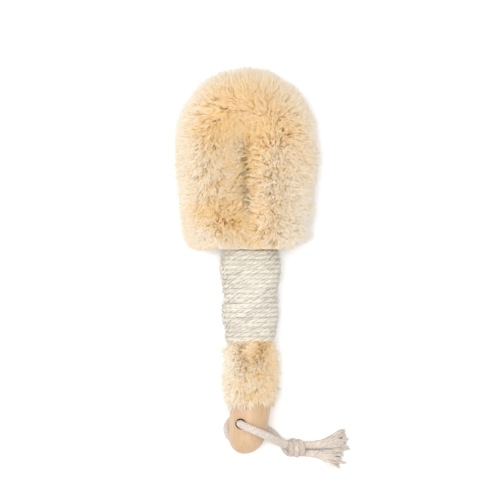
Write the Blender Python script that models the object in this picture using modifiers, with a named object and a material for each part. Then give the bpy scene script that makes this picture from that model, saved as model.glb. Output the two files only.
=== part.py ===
"""Body dry brush: a sisal bristle roll on a twisted wire hairpin, lashed to a wooden handle with sisal twine.

The brush lies on its back on a table. +Y runs from the handle to the head, +X to the side of the
hanging cord and +Z up. The origin is on the table, under the middle of the brush without its cord.
"""

import math

import bmesh
import bpy
import numpy as np
from mathutils import Vector

# ---------------------------------------------------------------- driving dimensions, in metres
GAP = 0.0003  # left between pieces that touch
AXIS_HEIGHT = 0.0183  # the wire hairpin and the handle's axis, above the table

HEAD_HALF_WIDTH = 0.0455
HEAD_TOP_Y = 0.1205
HEAD_FOOT_Y = 0.008
BEND_Y = HEAD_TOP_Y - HEAD_HALF_WIDTH  # centre of the hairpin's bend and of the round crown
BRISTLE_LIFT = 0.022  # how far the bristles stand above and below the wire
WIDEST_Y = 0.072
SIDE_TAPER = 2.1  # per metre: how fast the sides draw in below the widest place

WIRE_RADIUS = 0.0007
WIRE_OFFSET = 0.0009  # each wire's centre from the middle of the twisted pair
WIRE_PITCH = 0.016
WIRE_POINTS_PER_TURN = 6
CHANNEL_RADIUS = 0.0022  # the way left for the pair in the bristles and the handle
SPINE_X = -0.0012  # middle of the hairpin in the head
SPINE_HALF_SPACING = 0.0205
LEG_STRAIGHT_Y = 0.042  # the legs draw together below here
LEG_END_Y = -0.070

NECK_X = 0.0016  # middle of the binding, the collar and the handle
NECK_WIRE_OFFSET = 0.0097
BINDING_TOP_Y = 0.0077
BINDING_FOOT_Y = -0.0508
BINDING_SHAPE_Y = (-0.0508, -0.047, -0.033, -0.021, -0.0047, 0.0077)
BINDING_HALF_WIDTH = (0.0152, 0.0156, 0.0178, 0.0168, 0.01885, 0.0172)
BINDING_FLATNESS = 0.9  # its thickness over its width
TWINE_RADIUS = 0.00138
TWINE_PITCH = 0.00298
TWINE_POINTS_PER_TURN = 16

COLLAR_RADIUS = 0.0172
COLLAR_FOOT_Y = -0.0913

HANDLE_TOP_Y = 0.002
HANDLE_END_Y = -0.1205
TANG_RADIUS = 0.009
TANG_CHAMFER = 0.0012
FLARE_TOP_Y = -0.070
FLARE_FOOT_Y = -0.090
HANDLE_RADIUS = 0.0127
HANDLE_END_RADIUS = 0.0112
LEAN_TOP_Y = -0.088  # the end of the handle leans to the side below here
LEAN_STRAIGHT_Y = -0.100
LEAN_RATE = 5.47  # per metre
HOLE_X = -0.0045
HOLE_Y = -0.1012
HOLE_RADIUS = 0.0036

STAPLE_Y = -0.0625
STAPLE_RADIUS = 0.0006
STAPLE_TIP = 0.0035  # its tips, from the handle's axis

CORD_RADIUS = 0.00275
TAIL_RADIUS = 0.0025
FRAYED_RADIUS = 0.0040
KNOT_CENTRE = (0.0283, -0.1174, 0.0059)
KNOT_HALF_SIZE = (0.0082, 0.0061, 0.0057)
KNOT_YAW = math.radians(-9)

# The hanging cord's own routes, from the handle's hole to the knot, and from the knot to the ends.
FRONT_ROUTE = (
    (-0.0045, -0.1012, AXIS_HEIGHT + GAP / 2),
    (-0.0045, -0.1012, 0.0240),
    (-0.0045, -0.1012, 0.0290),
    (-0.0029, -0.1019, 0.0334),
    (0.0008, -0.1035, 0.0354),
    (0.0047, -0.1052, 0.0352),
    (0.0092, -0.1073, 0.0329),
    (0.0130, -0.1093, 0.0291),
    (0.0157, -0.1108, 0.0243),
    (0.0175, -0.1120, 0.0190),
    (0.0189, -0.1129, 0.0143),
    (0.0207, -0.1139, 0.0100),
)
BACK_ROUTE = (
    (-0.0045, -0.1012, AXIS_HEIGHT - GAP / 2),
    (-0.0045, -0.1012, 0.0120),
    (-0.0046, -0.1011, 0.0078),
    (-0.0058, -0.1005, 0.0044),
    (-0.0085, -0.0999, 0.0031),
    (-0.0116, -0.1018, 0.0030),
    (-0.0130, -0.1052, 0.0030),
    (-0.0122, -0.1092, 0.0030),
    (-0.0092, -0.1120, 0.0030),
    (-0.0045, -0.1126, 0.0030),
    (0.0010, -0.1104, 0.0030),
    (0.0058, -0.1074, 0.0030),
    (0.0107, -0.1059, 0.0031),
    (0.0148, -0.1078, 0.0034),
    (0.0175, -0.1104, 0.0040),
    (0.0203, -0.1138, 0.0045),
)
UPPER_TAIL_ROUTE = (
    (0.0369, -0.1158, 0.0050),
    (0.0420, -0.1158, 0.0038),
    (0.0480, -0.1152, 0.0034),
    (0.0535, -0.1143, 0.0036),
    (0.0590, -0.1130, 0.0040),
    (0.0640, -0.1120, 0.0043),
)
LOWER_TAIL_ROUTE = (
    (0.0363, -0.1208, 0.0042),
    (0.0412, -0.1212, 0.0034),
    (0.0465, -0.1222, 0.0032),
    (0.0525, -0.1239, 0.0037),
    (0.0600, -0.1256, 0.0043),
)


# ---------------------------------------------------------------- scene and materials
def clear_scene():
    for item in list(bpy.data.objects):
        bpy.data.objects.remove(item, do_unlink=True)


def new_collection(name, hidden=False):
    made = bpy.data.collections.new(name)
    made.hide_render = hidden
    bpy.context.scene.collection.children.link(made)
    return made


def new_material(name, colour, roughness, metallic=0.0):
    made = bpy.data.materials.new(name)
    made.use_nodes = True
    shader = made.node_tree.nodes["Principled BSDF"]
    shader.inputs["Base Color"].default_value = (*colour, 1.0)
    shader.inputs["Roughness"].default_value = roughness
    shader.inputs["Metallic"].default_value = metallic
    return made


clear_scene()
PARTS = new_collection("body_dry_brush")
CUTTERS = new_collection("cutters", hidden=True)
BEECH = new_material("beech", (0.76, 0.54, 0.32), 0.45)
SISAL = new_material("sisal_bristle", (0.86, 0.72, 0.50), 0.9)
TWINE = new_material("sisal_twine", (0.84, 0.80, 0.69), 0.9)
STEEL = new_material("galvanised_steel", (0.62, 0.63, 0.64), 0.35, 1.0)
COTTON = new_material("cotton_cord", (0.79, 0.73, 0.68), 0.95)


# ---------------------------------------------------------------- modelling helpers
def place(data, name, material, cutter=False):
    """Puts a mesh or a curve in the scene, as a part or as a cutter."""
    made = bpy.data.objects.new(name, data)
    (CUTTERS if cutter else PARTS).objects.link(made)
    if material:
        data.materials.append(material)
    if cutter:
        made.hide_render = True
        made.display_type = "WIRE"
    return made


def evaluated_mesh(source):
    """The object's mesh with its modifiers applied, its loose caps welded, in world space."""
    bpy.context.view_layer.update()
    seen = source.evaluated_get(bpy.context.evaluated_depsgraph_get())
    mesh = bpy.data.meshes.new_from_object(seen)
    mesh.transform(source.matrix_world)
    bm = bmesh.new()
    bm.from_mesh(mesh)
    bmesh.ops.remove_doubles(bm, verts=bm.verts, dist=1e-6)
    bmesh.ops.recalc_face_normals(bm, faces=bm.faces)
    bm.to_mesh(mesh)
    bm.free()
    return mesh


def solidified(source):
    """Replaces a curve or a modified object by its plain mesh, in world space."""
    mesh = evaluated_mesh(source)
    name = source.name
    cutter = source.hide_render
    material = source.data.materials[0] if source.data.materials else None
    bpy.data.objects.remove(source, do_unlink=True)
    mesh.materials.clear()
    return place(mesh, name, material, cutter)


def tube(name, points, radii, material, sides_level=2, cutter=False):
    """A round bar along points; bevel resolution 1 gives 6 sides, 2 gives 8."""
    data = bpy.data.curves.new(name, "CURVE")
    data.dimensions = "3D"
    data.bevel_depth = 1.0
    data.bevel_resolution = sides_level
    data.use_fill_caps = True
    data.twist_mode = "MINIMUM"
    spline = data.splines.new("POLY")
    spline.points.add(len(points) - 1)
    for i, point in enumerate(points):
        spline.points[i].co = (*point, 1.0)
        spline.points[i].radius = radii[i] if np.ndim(radii) else radii
    return place(data, name, material, cutter)


def smooth_route(route, spacing):
    """Points at about this spacing on a smooth curve through the route's own points."""
    pts = [Vector(p) for p in route]
    pts = [2 * pts[0] - pts[1]] + pts + [2 * pts[-1] - pts[-2]]
    found = []
    for a, b, c, d in zip(pts, pts[1:], pts[2:], pts[3:]):
        steps = max(1, round((c - b).length / spacing))
        for i in range(steps):
            t = i / steps
            square = (2 * a - 5 * b + 4 * c - d) * t**2
            cube = (3 * b - a - 3 * c + d) * t**3
            found.append((2 * b + (c - a) * t + square + cube) / 2)
    found.append(pts[-2])
    return found


def loft(name, rings, material):
    """A closed solid through rings of equally many points, with flat ends."""
    bm = bmesh.new()
    rows = [[bm.verts.new(p) for p in ring] for ring in rings]
    count = len(rows[0])
    for low, high in zip(rows, rows[1:]):
        for i in range(count):
            j = (i + 1) % count
            bm.faces.new((low[i], low[j], high[j], high[i]))
    bm.faces.new(rows[0])
    bm.faces.new(rows[-1])
    bmesh.ops.recalc_face_normals(bm, faces=bm.faces)
    mesh = bpy.data.meshes.new(name)
    bm.to_mesh(mesh)
    bm.free()
    return place(mesh, name, material)


def turned(name, profile, steps, location, rotation, material, cutter=False):
    """A profile of (radius, height) points, top to bottom, turned about its own Z axis."""
    mesh = bpy.data.meshes.new(name)
    edges = [(i, i + 1) for i in range(len(profile) - 1)]
    if profile[0][0] > 0:
        edges.append((len(profile) - 1, 0))
    mesh.from_pydata([(r, 0, h) for r, h in profile], edges, [])
    made = place(mesh, name, material, cutter)
    made.location = location
    made.rotation_euler = rotation
    screw = made.modifiers.new("Turn", "SCREW")
    screw.axis = "Z"
    screw.steps = steps
    screw.render_steps = steps
    screw.use_merge_vertices = True
    screw.merge_threshold = 1e-6
    return made


def box_cutter(name, low, high):
    bm = bmesh.new()
    bmesh.ops.create_cube(bm, size=1.0)
    for vert in bm.verts:
        for axis in range(3):
            vert.co[axis] = high[axis] if vert.co[axis] > 0 else low[axis]
    mesh = bpy.data.meshes.new(name)
    bm.to_mesh(mesh)
    bm.free()
    return place(mesh, name, None, cutter=True)


def rod_cutter(name, radius, start, end, sides):
    """A straight round cutter between two points, which lie on a line along X, Y or Z."""
    start, end = Vector(start), Vector(end)
    bm = bmesh.new()
    bmesh.ops.create_cone(
        bm, cap_ends=True, segments=sides, radius1=radius, radius2=radius, depth=(end - start).length
    )
    mesh = bpy.data.meshes.new(name)
    bm.to_mesh(mesh)
    bm.free()
    made = place(mesh, name, None, cutter=True)
    made.location = (start + end) / 2
    made.rotation_euler = (end - start).to_track_quat("Z", "Y").to_euler()
    return made


def cut(part, *cutters):
    """Takes each cutter out of the part."""
    for cutter in cutters:
        boolean = part.modifiers.new(f"Cut {cutter.name}", "BOOLEAN")
        boolean.operation = "DIFFERENCE"
        boolean.solver = "EXACT"
        boolean.object = cutter


def smooth_shading(part):
    if part.type == "MESH":
        part.data.shade_smooth()
        part.data.set_sharp_from_angle(angle=math.radians(40))


# ---------------------------------------------------------------- the wire hairpin
def leg_x(side, y):
    """Where a leg of the hairpin is: -1 the left one, 1 the right one."""
    t = min(max(y / LEG_STRAIGHT_Y, 0.0), 1.0)
    spread = t * t * (3 - 2 * t)
    neck = NECK_X + side * NECK_WIRE_OFFSET
    head = SPINE_X + side * SPINE_HALF_SPACING
    return neck + (head - neck) * spread


def seam_x(y):
    return (leg_x(-1, y) + leg_x(1, y)) / 2


def hairpin(start_y, spacing):
    """Points at equal steps along the hairpin, up the left leg, round the bend and down the right leg."""
    rise = np.linspace(start_y, BEND_Y, 160)
    bend = np.linspace(math.pi, 0, 80)[1:-1]
    half = SPINE_HALF_SPACING
    left = [(leg_x(-1, y), y) for y in rise]
    crown = [(SPINE_X + half * math.cos(a), BEND_Y + half * math.sin(a)) for a in bend]
    right = [(leg_x(1, y), y) for y in rise[::-1]]
    line = np.array(left + crown + right)
    length = np.concatenate([[0], np.cumsum(np.linalg.norm(np.diff(line, axis=0), axis=1))])
    steps = np.linspace(0, length[-1], round(length[-1] / spacing) + 1)
    return steps, np.column_stack([np.interp(steps, length, line[:, i]) for i in range(2)])


def spine_wire(name, phase):
    """One of the two wires, which twist round each other all along the hairpin."""
    lengths, line = hairpin(LEG_END_Y, WIRE_PITCH / WIRE_POINTS_PER_TURN)
    along = np.gradient(line, axis=0)
    along /= np.linalg.norm(along, axis=1)[:, None]
    points = []
    for s, (x, y), (dx, dy) in zip(lengths, line, along):
        turn = 2 * math.pi * s / WIRE_PITCH + phase
        out = WIRE_OFFSET * math.cos(turn)
        points.append((x - dy * out, y + dx * out, AXIS_HEIGHT + WIRE_OFFSET * math.sin(turn)))
    return tube(name, points, WIRE_RADIUS, STEEL, sides_level=1)


def wire_channel():
    """The way that every bristle piece and the handle's sides leave for the twisted pair."""
    _, line = hairpin(LEG_END_Y - 0.001, 0.0042)
    points = [(x, y, AXIS_HEIGHT) for x, y in line]
    return solidified(tube("wire_channel", points, CHANNEL_RADIUS, None, cutter=True))


# ---------------------------------------------------------------- the head's bristles
def head_half_width(y):
    return HEAD_HALF_WIDTH - SIDE_TAPER * (WIDEST_Y - y) ** 2


def leg_ring(side, y, fullness, count=24):
    """A leg's bristles in section: round its wire, pressed flat on the table and on the other leg."""
    wire = leg_x(side, y)
    reach = (head_half_width(y) - side * wire) * fullness
    lift = BRISTLE_LIFT * fullness
    ring = []
    for i in range(count):
        a = 2 * math.pi * (i + 0.5) / count
        out = max(side * (wire - seam_x(y)) + reach * math.cos(a), GAP / 2)
        ring.append((seam_x(y) + side * out, y, max(AXIS_HEIGHT + lift * math.sin(a), 0.0)))
    return ring


def leg_bristles(name, side, channel):
    heights = np.linspace(0.016, BEND_Y - GAP / 2, 7)
    stations = [(HEAD_FOOT_Y + GAP / 2, 0.88), (0.0105, 0.96)] + [(y, 1.0) for y in heights]
    made = loft(name, [leg_ring(side, y, fullness) for y, fullness in stations], SISAL)
    cut(made, channel)
    return made


def crown_bristles(channel):
    """The bristles round the bend: a leg's section turned about the bend's centre."""
    reach = HEAD_HALF_WIDTH - SPINE_HALF_SPACING
    start = math.acos(-SPINE_HALF_SPACING / reach)
    profile = []
    for a in np.linspace(start, -start, 19):
        height = max(AXIS_HEIGHT + BRISTLE_LIFT * math.sin(a), 0.0)
        profile.append((SPINE_HALF_SPACING + reach * math.cos(a), height))
    profile[0] = (0.0, profile[0][1])
    profile[-1] = (0.0, profile[-1][1])
    made = turned("head_bristles_crown", profile, 40, (0, BEND_Y, 0), (0, 0, 0), SISAL)
    below = box_cutter("below_the_bend", (-0.06, -0.02, -0.01), (0.06, BEND_Y + GAP / 2, 0.06))
    cut(made, below, channel)
    return made


# ---------------------------------------------------------------- the neck and its binding
def binding_half_width(y):
    """The binding's outer half width, smooth between the places where it was set."""
    for (y0, w0), (y1, w1) in zip(
        zip(BINDING_SHAPE_Y, BINDING_HALF_WIDTH), zip(BINDING_SHAPE_Y[1:], BINDING_HALF_WIDTH[1:])
    ):
        if y <= y1:
            t = min(max((y - y0) / (y1 - y0), 0.0), 1.0)
            return w0 + (w1 - w0) * (1 - math.cos(math.pi * t)) / 2
    return BINDING_HALF_WIDTH[-1]


def sisal_binding():
    """One length of twine wound round the neck in touching turns."""
    top = BINDING_TOP_Y - TWINE_RADIUS
    foot = BINDING_FOOT_Y + TWINE_RADIUS
    count = round((top - foot) / TWINE_PITCH * TWINE_POINTS_PER_TURN)
    points = []
    for i in range(count + 1):
        y = foot + (top - foot) * i / count
        a = 2 * math.pi * i / TWINE_POINTS_PER_TURN
        half = binding_half_width(y) - TWINE_RADIUS
        high = binding_half_width(y) * BINDING_FLATNESS - TWINE_RADIUS
        points.append((NECK_X + half * math.cos(a), y, AXIS_HEIGHT - high * math.sin(a)))
    return tube("sisal_binding", points, TWINE_RADIUS, TWINE, sides_level=1)


def neck_ring(side, y, count=20):
    """Half of the squeezed bristle bundle under the binding."""
    chord = math.cos(math.pi / TWINE_POINTS_PER_TURN)
    half = (binding_half_width(y) - TWINE_RADIUS) * chord - TWINE_RADIUS - GAP
    high = (binding_half_width(y) * BINDING_FLATNESS - TWINE_RADIUS) * chord - TWINE_RADIUS - GAP
    ring = []
    for i in range(count):
        a = -math.pi / 2 + math.pi * i / (count - 1)
        out = max(half * math.cos(a), GAP / 2)
        ring.append((NECK_X + side * out, y, AXIS_HEIGHT + high * math.sin(a)))
    return ring


def neck_bristles(name, side, channel):
    stations = np.linspace(BINDING_FOOT_Y, HEAD_FOOT_Y - GAP / 2, 9)
    made = loft(name, [neck_ring(side, y) for y in stations], SISAL)
    bore = rod_cutter(
        f"tang_bore_{name}",
        TANG_RADIUS + GAP,
        (NECK_X, BINDING_FOOT_Y - 0.005, AXIS_HEIGHT),
        (NECK_X, HANDLE_TOP_Y + GAP, AXIS_HEIGHT),
        28,
    )
    cut(made, bore, channel)
    return made


# ---------------------------------------------------------------- the handle
def handle_radius(y):
    """The handle's radius above its round end."""
    if y >= FLARE_TOP_Y:
        return TANG_RADIUS
    if y >= FLARE_FOOT_Y:
        t = (FLARE_TOP_Y - y) / (FLARE_TOP_Y - FLARE_FOOT_Y)
        return TANG_RADIUS + (HANDLE_RADIUS - TANG_RADIUS) * (1 - math.cos(math.pi * t)) / 2
    end_centre = HANDLE_END_Y + HANDLE_END_RADIUS
    t = (FLARE_FOOT_Y - y) / (FLARE_FOOT_Y - end_centre)
    return HANDLE_RADIUS + (HANDLE_END_RADIUS - HANDLE_RADIUS) * (0.35 * t + 0.65 * t * t)


def lean(y):
    """How far the handle's end leans towards -X at y."""
    if y > LEAN_TOP_Y:
        return 0.0
    curved = LEAN_TOP_Y - max(y, LEAN_STRAIGHT_Y)
    straight = max(LEAN_STRAIGHT_Y - y, 0.0)
    return LEAN_RATE * (curved**2 + 2 * (LEAN_TOP_Y - LEAN_STRAIGHT_Y) * straight)


def handle(channel):
    end_centre = HANDLE_END_Y + HANDLE_END_RADIUS
    profile = [
        (0.0, HANDLE_TOP_Y),
        (TANG_RADIUS - TANG_CHAMFER, HANDLE_TOP_Y),
        (TANG_RADIUS, HANDLE_TOP_Y - TANG_CHAMFER),
    ]
    profile += [(handle_radius(y), y) for y in np.linspace(FLARE_TOP_Y, FLARE_FOOT_Y, 7)]
    profile += [(handle_radius(y), y) for y in np.linspace(FLARE_FOOT_Y, end_centre, 7)[1:]]
    for a in np.linspace(0, math.pi / 2, 8)[1:]:
        profile.append((HANDLE_END_RADIUS * math.cos(a), end_centre - HANDLE_END_RADIUS * math.sin(a)))
    profile[-1] = (0.0, HANDLE_END_Y)
    made = turned("handle", profile, 32, (NECK_X, 0, AXIS_HEIGHT), (-math.pi / 2, 0, 0), BEECH)
    made = solidified(made)
    for vert in made.data.vertices:
        vert.co.x -= lean(vert.co.y)
    hole = rod_cutter("cord_hole", HOLE_RADIUS, (HOLE_X, HOLE_Y, -0.002), (HOLE_X, HOLE_Y, 0.04), 20)
    cut(made, hole, channel)
    for side in (-1, 1):
        for leg in (-1, 1):
            z = AXIS_HEIGHT + leg * staple_half_span()
            pilot = rod_cutter(
                f"staple_pilot_{side}_{leg}",
                STAPLE_RADIUS + GAP,
                (NECK_X + side * (STAPLE_TIP - GAP), STAPLE_Y, z),
                (NECK_X + side * 0.012, STAPLE_Y, z),
                8,
            )
            cut(made, pilot)
    return made


# ---------------------------------------------------------------- the staples and the collar
def staple_half_span():
    return WIRE_OFFSET + WIRE_RADIUS + GAP + STAPLE_RADIUS


def staple(name, side):
    """A wire staple that straddles the twisted pair and holds it in the handle's groove."""
    reach = NECK_WIRE_OFFSET + staple_half_span()
    bend = 0.0009
    span = staple_half_span()
    arc = [(math.sin(a), math.cos(a)) for a in np.linspace(0, math.pi / 2, 4)]
    outline = [(STAPLE_TIP, -span)]
    outline += [(reach - bend + bend * s, -span + bend - bend * c) for s, c in arc]
    outline += [(reach - bend + bend * s, span - bend + bend * c) for s, c in arc[::-1]]
    outline.append((STAPLE_TIP, span))
    points = [(NECK_X + side * x, STAPLE_Y, AXIS_HEIGHT + z) for x, z in outline]
    return tube(name, points, STAPLE_RADIUS, STEEL, sides_level=1)


def collar_bristles(name, side, channel):
    """The ends of the bristle roll below the binding: half of a fluffy ring round the handle."""
    top = BINDING_FOOT_Y - GAP
    outer = [
        (0.0138, top),
        (0.0152, top - 0.0025),
        (0.0166, top - 0.008),
        (COLLAR_RADIUS, top - 0.016),
        (COLLAR_RADIUS, top - 0.028),
        (0.0166, top - 0.035),
        (0.0148, COLLAR_FOOT_Y + 0.0012),
        (0.0136, COLLAR_FOOT_Y),
    ]
    inner = [(handle_radius(y) + GAP, y) for y in np.linspace(COLLAR_FOOT_Y, FLARE_TOP_Y, 7)]
    inner.append((TANG_RADIUS + GAP, top))
    ring = turned(name, outer + inner, 32, (NECK_X, 0, AXIS_HEIGHT), (-math.pi / 2, 0, 0), SISAL)
    ring = solidified(ring)
    far = NECK_X - side * 0.03
    near = NECK_X + side * GAP / 2
    other_half = box_cutter(
        f"other_half_{name}", (min(far, near), -0.1, -0.01), (max(far, near), -0.04, 0.06)
    )
    inner_x = NECK_X + side * (TANG_RADIUS - 0.002)
    outer_x = NECK_X + side * (NECK_WIRE_OFFSET + staple_half_span() + STAPLE_RADIUS + GAP)
    half_y = STAPLE_RADIUS + GAP
    half_z = staple_half_span() + STAPLE_RADIUS + GAP
    pocket = box_cutter(
        f"staple_pocket_{name}",
        (min(inner_x, outer_x), STAPLE_Y - half_y, AXIS_HEIGHT - half_z),
        (max(inner_x, outer_x), STAPLE_Y + half_y, AXIS_HEIGHT + half_z),
    )
    cut(ring, other_half, channel, pocket)
    return ring


# ---------------------------------------------------------------- the hanging cord
def cord_strand(name, route):
    points = smooth_route(route, 0.0022)
    return tube(name, points, CORD_RADIUS, COTTON, sides_level=2)


def cord_tail(name, route):
    """A cut end of the cord, which opens into a frayed brush."""
    points = smooth_route(route, 0.0028)
    opening = np.linspace(0, 1, len(points)) ** 2
    radii = TAIL_RADIUS + (FRAYED_RADIUS - TAIL_RADIUS) * opening
    return tube(name, points, radii, COTTON, sides_level=2)


def cord_knot():
    """The overhand knot that closes the loop, with the three turns that show on its outside."""
    stations, sides, turns = 17, 18, 3
    rings = []
    for i in range(stations):
        t = -1 + 2 * (i + 0.35) / (stations - 0.3)
        body = (1 - abs(t) ** 2.6) ** 0.5
        ridge = 0.93 + 0.07 * math.cos(math.pi * turns * t)
        ring = []
        for j in range(sides):
            a = 2 * math.pi * j / sides
            local = Vector(
                (
                    KNOT_HALF_SIZE[0] * t,
                    KNOT_HALF_SIZE[1] * body * ridge * math.cos(a),
                    KNOT_HALF_SIZE[2] * body * ridge * math.sin(a),
                )
            )
            turned_x = local.x * math.cos(KNOT_YAW) - local.y * math.sin(KNOT_YAW)
            turned_y = local.x * math.sin(KNOT_YAW) + local.y * math.cos(KNOT_YAW)
            ring.append(Vector((turned_x, turned_y, local.z)) + Vector(KNOT_CENTRE))
        rings.append(ring)
    return loft("hang_cord_knot", rings, COTTON)


# ---------------------------------------------------------------- assembly
def build():
    channel = wire_channel()
    pieces = [
        handle(channel),
        spine_wire("spine_wire_a", 0.0),
        spine_wire("spine_wire_b", math.pi),
        crown_bristles(channel),
        sisal_binding(),
        cord_strand("hang_cord_front_strand", FRONT_ROUTE),
        cord_strand("hang_cord_back_strand", BACK_ROUTE),
        cord_knot(),
        cord_tail("hang_cord_upper_tail", UPPER_TAIL_ROUTE),
        cord_tail("hang_cord_lower_tail", LOWER_TAIL_ROUTE),
    ]
    for word, side in (("left", -1), ("right", 1)):
        pieces.append(leg_bristles(f"head_bristles_{word}", side, channel))
        pieces.append(neck_bristles(f"neck_bristles_{word}", side, channel))
        pieces.append(collar_bristles(f"collar_bristles_{word}", side, channel))
        pieces.append(staple(f"staple_{word}", side))
    for piece in pieces:
        smooth_shading(piece)


build()
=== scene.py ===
"""Looks of the body dry brush: sisal fibre on a wire hairpin, twine, a beech handle and a braided cord."""

import math

import bmesh
import bpy
import numpy as np
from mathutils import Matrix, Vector


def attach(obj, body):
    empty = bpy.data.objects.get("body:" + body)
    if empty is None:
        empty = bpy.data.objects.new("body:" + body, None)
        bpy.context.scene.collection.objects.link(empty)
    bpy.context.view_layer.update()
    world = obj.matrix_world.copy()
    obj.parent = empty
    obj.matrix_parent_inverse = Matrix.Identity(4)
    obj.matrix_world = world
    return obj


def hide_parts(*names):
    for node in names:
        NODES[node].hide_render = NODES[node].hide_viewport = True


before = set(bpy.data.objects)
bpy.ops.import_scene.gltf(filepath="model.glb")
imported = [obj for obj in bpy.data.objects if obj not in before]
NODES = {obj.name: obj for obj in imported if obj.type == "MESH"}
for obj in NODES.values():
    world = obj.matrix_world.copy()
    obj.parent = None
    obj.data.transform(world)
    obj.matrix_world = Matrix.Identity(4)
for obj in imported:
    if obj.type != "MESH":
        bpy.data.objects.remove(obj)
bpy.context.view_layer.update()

UV_NAME = "OFBake"
TONE_LIMITS = (0.01, 0.99)
TONE_WIDTH = 0.008  # how wide one strand's strip is in its UV map
ROOT_TO_TIP = (0.002, 0.998)  # where the strip starts and ends in V
SCATTER_STEPS = (0.7548776662, 0.5698402910)  # these fill a square evenly

# The brush's own axis: its height over the table, and where it runs in the neck and the handle.
AXIS_HEIGHT = 0.0183
NECK_X = 0.0016

# The hairpin of wire that the bristles grow from, as in the CAD model, and the head's outline.
SPINE_X = -0.0012
SPINE_HALF_SPACING = 0.0205
NECK_WIRE_OFFSET = 0.0097
LEG_STRAIGHT_Y = 0.042
BEND_Y = 0.075
HEAD_FOOT_Y = 0.008
HEAD_HALF_WIDTH = 0.0455
WIDEST_Y = 0.072
SIDE_TAPER = 2.1  # the loss of half width over the distance from the widest place, squared
BRISTLE_LIFT = 0.022  # how far the bristles stand up from the wire

# The neck's twine and the collar of bristle below it.
BINDING_SHAPE_Y = (-0.0508, -0.047, -0.033, -0.021, -0.0047, 0.0077)
BINDING_HALF_WIDTH = (0.0152, 0.0156, 0.0178, 0.0168, 0.01885, 0.0172)
BINDING_FLATNESS = 0.9
BINDING_TOP = AXIS_HEIGHT + BINDING_HALF_WIDTH[-1] * BINDING_FLATNESS
TWINE_RADIUS = 0.00138
TWINE_PITCH = 0.00298
COLLAR_RADIUS = 0.0172
COLLAR_FOOT_Y = -0.0913

# The turned handle.
HANDLE_TOP_Y = 0.002
HANDLE_END_Y = -0.1205
TANG_RADIUS = 0.009
FLARE_TOP_Y = -0.070
FLARE_FOOT_Y = -0.090
HANDLE_RADIUS = 0.0127
HANDLE_END_RADIUS = 0.0112
LEAN_TOP_Y = -0.088
LEAN_STRAIGHT_Y = -0.100
LEAN_RATE = 5.47  # the sideways shift over the distance from the lean's top, squared
HANDLE_SIDES = 96
HOLE_X = -0.0045
HOLE_Y = -0.1012
HOLE_SIDES = 64
HOLE_SHAPE = (  # depth under the handle's surface and radius there: the hole's edge is rounded over
    (-0.0040, 0.0046),
    (0.0, 0.0039),
    (0.00015, 0.0036),
    (0.0004, 0.00336),
    (0.0009, 0.00315),
    (0.0018, 0.00300),
    (0.0036, 0.00295),
)

# The hanging cord: two runs of one braided cord, which leave the hole and pass through the knot.
CORD_RADIUS = 0.00265
CORD_IN_KNOT_RADIUS = 0.0020
CORD_STEP = 0.0004  # between two points of a cord's mesh
FRONT_ROUTE = (
    (-0.0045, -0.1012, AXIS_HEIGHT + 0.0002),
    (-0.0045, -0.1012, 0.0240),
    (-0.0045, -0.1012, 0.0290),
    (-0.0029, -0.1019, 0.0334),
    (0.0008, -0.1035, 0.0354),
    (0.0047, -0.1052, 0.0352),
    (0.0092, -0.1073, 0.0329),
    (0.0130, -0.1093, 0.0291),
    (0.0157, -0.1108, 0.0243),
    (0.0175, -0.1120, 0.0190),
    (0.0189, -0.1129, 0.0143),
    (0.0207, -0.1139, 0.0100),
    (0.0240, -0.1150, 0.0076),
    (0.0283, -0.1158, 0.0066),
    (0.0330, -0.1160, 0.0058),
    (0.0369, -0.1158, 0.0050),
    (0.0420, -0.1158, 0.0038),
    (0.0480, -0.1152, 0.0034),
    (0.0535, -0.1143, 0.0036),
)
BACK_ROUTE = (
    (-0.0045, -0.1012, AXIS_HEIGHT - 0.0002),
    (-0.0045, -0.1012, 0.0120),
    (-0.0046, -0.1011, 0.0078),
    (-0.0058, -0.1005, 0.0044),
    (-0.0085, -0.0999, 0.0031),
    (-0.0116, -0.1018, 0.0030),
    (-0.0130, -0.1052, 0.0030),
    (-0.0122, -0.1092, 0.0030),
    (-0.0092, -0.1120, 0.0030),
    (-0.0045, -0.1126, 0.0030),
    (0.0010, -0.1104, 0.0030),
    (0.0058, -0.1074, 0.0030),
    (0.0107, -0.1059, 0.0031),
    (0.0148, -0.1078, 0.0034),
    (0.0175, -0.1104, 0.0040),
    (0.0203, -0.1138, 0.0045),
    (0.0245, -0.1172, 0.0044),
    (0.0310, -0.1196, 0.0044),
    (0.0363, -0.1208, 0.0042),
    (0.0412, -0.1212, 0.0034),
    (0.0465, -0.1222, 0.0032),
    (0.0510, -0.1234, 0.0034),
)
KNOT_CENTRE = (0.0283, -0.1174, 0.0059)
KNOT_YAW = math.radians(-9)
KNOT_PITCH = 0.0068
KNOT_BOW = 0.0011
KNOT_HALF_WIDTH = 0.0040
KNOT_HALF_HEIGHT = 0.0036
KNOT_CORD_RADIUS = 0.0021
# Where the knot's cord turns back at its lower left.
KNOT_LOBE = (
    (0.0290, -0.1206, 0.0040),
    (0.0262, -0.1213, 0.0036),
    (0.0240, -0.1199, 0.0036),
    (0.0231, -0.1172, 0.0040),
    (0.0243, -0.1150, 0.0046),
    (0.0275, -0.1145, 0.0050),
)


# ---------------------------------------------------------------- materials
def srgb(red, green, blue):
    """The linear colour of three display values from 0 to 255."""
    shares = [c / 255 for c in (red, green, blue)]
    return [c / 12.92 if c <= 0.04045 else ((c + 0.055) / 1.055) ** 2.4 for c in shares] + [1.0]


def new_material(name, roughness, metallic=0.0, specular=0.5):
    """A material with its nodes, its links and its shader."""
    material = bpy.data.materials.new(name)
    material.use_nodes = True
    shader = material.node_tree.nodes["Principled BSDF"]
    shader.inputs["Roughness"].default_value = roughness
    shader.inputs["Metallic"].default_value = metallic
    shader.inputs["Specular IOR Level"].default_value = specular
    return material, material.node_tree.nodes, material.node_tree.links, shader


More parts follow.
